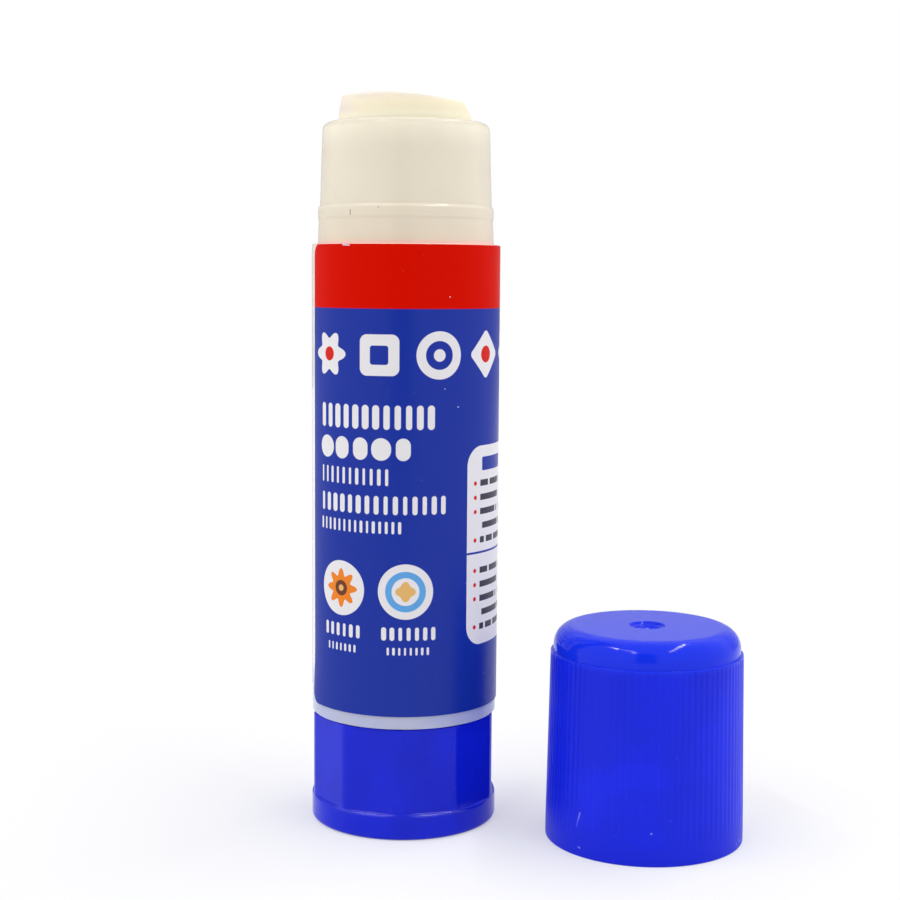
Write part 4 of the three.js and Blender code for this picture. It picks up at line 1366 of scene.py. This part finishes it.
def plain_quad(name, corners, material):
    """A flat piece of the stage with four corners."""
    made = put_mesh(name, np.array(corners), np.array([[0, 1, 2, 3]]))
    made.data.materials.append(material)
    return made


def make_floor(floor_colour):
    """A plain pale floor that keeps the object's shadow. Far out it turns into the white background."""
    material, shader = new_material("floor", Roughness=0.9, Specular_IOR_Level=0.1)
    shader.inputs["Base Color"].default_value = (*floor_colour, 1)
    tree = material.node_tree
    far = remap(compute("LENGTH", object_place(tree)), *FLOOR_FADE, FLOOR_GLOW, 1.0)
    glow = add_node(tree, "ShaderNodeEmission", {"Strength": 1.0})
    mixed = add_node(tree, "ShaderNodeMixShader", {
        0: far * seen_rays(tree), 1: Field(shader.outputs[0]), 2: Field(glow.outputs[0])})
    plug(tree.nodes["Material Output"].inputs["Surface"], Field(mixed.outputs[0]))
    half = FLOOR_HALF
    return plain_quad("floor", [[-half, -half, 0], [half, -half, 0], [half, half, 0], [-half, half, 0]],
                      material)


def make_card(name, azimuth, width, distance, grey, in_light):
    """An upright card round the object, hidden from the camera, that darkens what its gloss shows. It
    keeps light from the object only if in_light is set."""
    material, shader = new_material(name, Roughness=0.9, Specular_IOR_Level=0.0)
    shader.inputs["Base Color"].default_value = (grey, grey, grey, 1)
    way = math.radians(azimuth)
    across = width / 2 * np.array([math.cos(way), math.sin(way), 0])
    middle = distance * np.array([math.sin(way), -math.cos(way), 0])
    up = np.array([0, 0, CARD_HEIGHT])
    card = plain_quad(
        name, [middle - across, middle + across, middle + across + up, middle - across + up], material)
    card.visible_camera = False
    card.visible_diffuse = card.visible_shadow = in_light
    return card


def make_lamp(name, power, start, end, width):
    """A strip lamp between two points, turned towards the stick's middle."""
    lamp = bpy.data.lights.new(name, "AREA")
    start, end = Vector(start), Vector(end)
    middle = (start + end) / 2
    lamp.shape, lamp.size, lamp.size_y = "RECTANGLE", (end - start).length, width
    lamp.energy = power
    made = bpy.data.objects.new(name, lamp)
    away = (middle - Vector((0, 0, RIM / 2))).normalized()
    across = away.cross(end - start).normalized()
    axes = Matrix((across.cross(away), across, away)).transposed()
    made.matrix_world = Matrix.Translation(middle) @ axes.to_4x4()
    bpy.context.scene.collection.objects.link(made)


def make_world(stage):
    """A white light tent. The background is white, and the light on the object from the direction
    (x, y, z) is ambient + back y - left x + sides x^2 - top z^4."""
    world = bpy.data.worlds.new("studio")
    world.use_nodes = True
    tree = world.node_tree
    way = object_place(tree)
    x, _, z = split(way)
    rise = compute("DOT_PRODUCT", way, (-stage.ambient_left, stage.ambient_back, 0))
    sides = x * x * stage.ambient_sides + stage.ambient
    top = compute("POWER", compute("ABSOLUTE", z), 4.0) * stage.ambient_top
    mixed = add_node(tree, "ShaderNodeMix", {0: seen_rays(tree), 2: rise + sides - top, 3: 1.0})
    background = tree.nodes["Background"]
    background.inputs["Color"].default_value = (1, 1, 1, 1)
    plug(background.inputs["Strength"], Field(mixed.outputs[0]))
    bpy.context.scene.world = world


def make_camera(stage):
    """The camera at the photograph's place: level with the label's red band, looking slightly down."""
    data = bpy.data.cameras.new("camera")
    data.sensor_width = SENSOR_WIDTH
    data.lens = stage.lens / MM
    data.clip_start = NEAREST_SEEN
    camera = bpy.data.objects.new("camera", data)
    look = Euler((math.pi / 2 - stage.camera_pitch, 0, 0)).to_matrix()
    camera.matrix_world = Matrix.Translation(CAMERA_PLACE) @ (
        look @ Matrix.Rotation(stage.camera_roll, 3, "Z")).to_4x4()
    bpy.context.scene.collection.objects.link(camera)
    bpy.context.scene.camera = camera


# Operators


class GLUESTICK_OT_barrel(bpy.types.Operator):
    """Builds the milky barrel with its neck, bead, rim, bore and keyways"""

    bl_idname = "gluestick.barrel"
    bl_label = "Barrel"

    def execute(self, context):
        piece = put_mesh("stick_barrel", *skin(barrel_grid(context.scene.stick_sizes), looped=True))
        material = natural_material(context.scene.stick_colours)
        finish_piece(piece, "barrel", "milky_plastic", material, "barrel")
        return {"FINISHED"}


class GLUESTICK_OT_label(bpy.types.Operator):
    """Builds the printed film with its rounded corners"""

    bl_idname = "gluestick.label"
    bl_label = "Label"

    def execute(self, context):
        grid, film = label_grid(context.scene.stick_sizes.film_lift)
        faces = grid_faces(*grid.shape[:2], looped=False, ring=False)
        piece = put_mesh("stick_label", grid.reshape(-1, 3), faces)
        layer = piece.data.uv_layers.new(name="film")
        layer.uv.foreach_set("vector", film.reshape(-1, 2)[faces.ravel()].astype(np.float32).ravel())
        solid = piece.modifiers.new("film", "SOLIDIFY")
        solid.thickness = FILM_THICKNESS
        solid.offset = -1
        finish_piece(piece, "barrel", "label_film", label_material(context.scene.stick_colours), "label")
        return {"FINISHED"}


class GLUESTICK_OT_knob(bpy.types.Operator):
    """Builds the knob with its flats, flange, ribbed hollow, collar and socket"""

    bl_idname = "gluestick.knob"
    bl_label = "Knob"

    def execute(self, context):
        piece = put_mesh("stick_knob", *skin(knob_grid(context.scene.stick_sizes)))
        base = context.scene.stick_colours.knob
        material = blue_material("knob_blue", base, KNOB_PAINTED_HIGHLIGHT, polished=LEDGE_POLISH)
        finish_piece(piece, "knob", "blue_plastic", material, "knob")
        return {"FINISHED"}


class GLUESTICK_OT_screw(bpy.types.Operator):
    """Builds the spindle and dresses the carrier that runs on it"""

    bl_idname = "gluestick.screw"
    bl_label = "Spindle and carrier"

    def execute(self, context):
        material = inner_material(context.scene.stick_colours.inner)
        piece = put_mesh("stick_spindle", *skin(spindle_grid()))
        finish_piece(piece, "knob", "white_plastic", material, "spindle")
        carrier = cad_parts["carrier"]
        carrier.data.materials.clear()
        carrier.data.materials.append(material)
        return {"FINISHED"}


class GLUESTICK_OT_glue(bpy.types.Operator):
    """Builds the glue with its rubbed end"""

    bl_idname = "gluestick.glue"
    bl_label = "Glue"

    def execute(self, context):
        piece = put_mesh("stick_glue", *skin(glue_grid(context.scene.stick_sizes)))
        finish_piece(piece, "carrier", "glue_core", glue_material(context.scene.stick_colours), "glue")
        return {"FINISHED"}


class GLUESTICK_OT_cap(bpy.types.Operator):
    """Builds the ribbed cap with its dome, dimple, catch and seal ring"""

    bl_idname = "gluestick.cap"
    bl_label = "Cap"

    def execute(self, context):
        piece = put_mesh("stick_cap", *skin(cap_grid(context.scene.stick_sizes)))
        base = context.scene.stick_colours.cap
        material = blue_material("cap_blue", base, CAP_MARKS, satin_top=SKIRT_TOP / MM)
        finish_piece(piece, "cap", "blue_plastic", material, "cap")
        return {"FINISHED"}


class GLUESTICK_OT_stage(bpy.types.Operator):
    """Builds the floor, the lamps, the dark cards, the background and the camera"""

    bl_idname = "gluestick.stage"
    bl_label = "Stage"

    def execute(self, context):
        stage = context.scene.stick_stage
        cards = make_card("front_card", **FRONT_CARD), make_card("back_card", **BACK_CARD)
        make_floor(stage.floor)
        make_lamp("left_strip", stage.left_power, **LEFT_STRIP)
        make_lamp("right_strip", stage.right_power, **RIGHT_STRIP)
        make_world(stage)
        make_camera(stage)
        context.scene.view_settings.view_transform = "Standard"
        return {"FINISHED"}


class GLUESTICK_PT_panel(bpy.types.Panel):
    """Lists the pieces and their settings in the sidebar"""

    bl_idname = "GLUESTICK_PT_panel"
    bl_label = "Glue Stick"
    bl_space_type = "VIEW_3D"
    bl_region_type = "UI"
    bl_category = "Glue Stick"

    def draw(self, context):
        for operator in OPERATORS:
            self.layout.operator(operator.bl_idname)
        for group in (context.scene.stick_sizes, context.scene.stick_colours, context.scene.stick_stage):
            column = self.layout.column()
            for name in group.__annotations__:
                column.prop(group, name)


OPERATORS = (
    GLUESTICK_OT_barrel,
    GLUESTICK_OT_label,
    GLUESTICK_OT_knob,
    GLUESTICK_OT_screw,
    GLUESTICK_OT_glue,
    GLUESTICK_OT_cap,
    GLUESTICK_OT_stage,
)
CLASSES = (StickSizes, StickColours, StageSettings, *OPERATORS, GLUESTICK_PT_panel)


def register():
    for cls in CLASSES:
        bpy.utils.register_class(cls)
    bpy.types.Scene.stick_sizes = PointerProperty(type=StickSizes)
    bpy.types.Scene.stick_colours = PointerProperty(type=StickColours)
    bpy.types.Scene.stick_stage = PointerProperty(type=StageSettings)


def unregister():
    del bpy.types.Scene.stick_stage
    del bpy.types.Scene.stick_colours
    del bpy.types.Scene.stick_sizes
    for cls in reversed(CLASSES):
        bpy.utils.unregister_class(cls)


def main():
    """Builds everything in order."""
    register()
    make_groups()
    bpy.ops.gluestick.barrel()
    bpy.ops.gluestick.label()
    bpy.ops.gluestick.knob()
    bpy.ops.gluestick.screw()
    bpy.ops.gluestick.glue()
    bpy.ops.gluestick.cap()
    bpy.ops.gluestick.stage()
    bpy.context.view_layer.update()


if __name__ == "__main__":
    main()
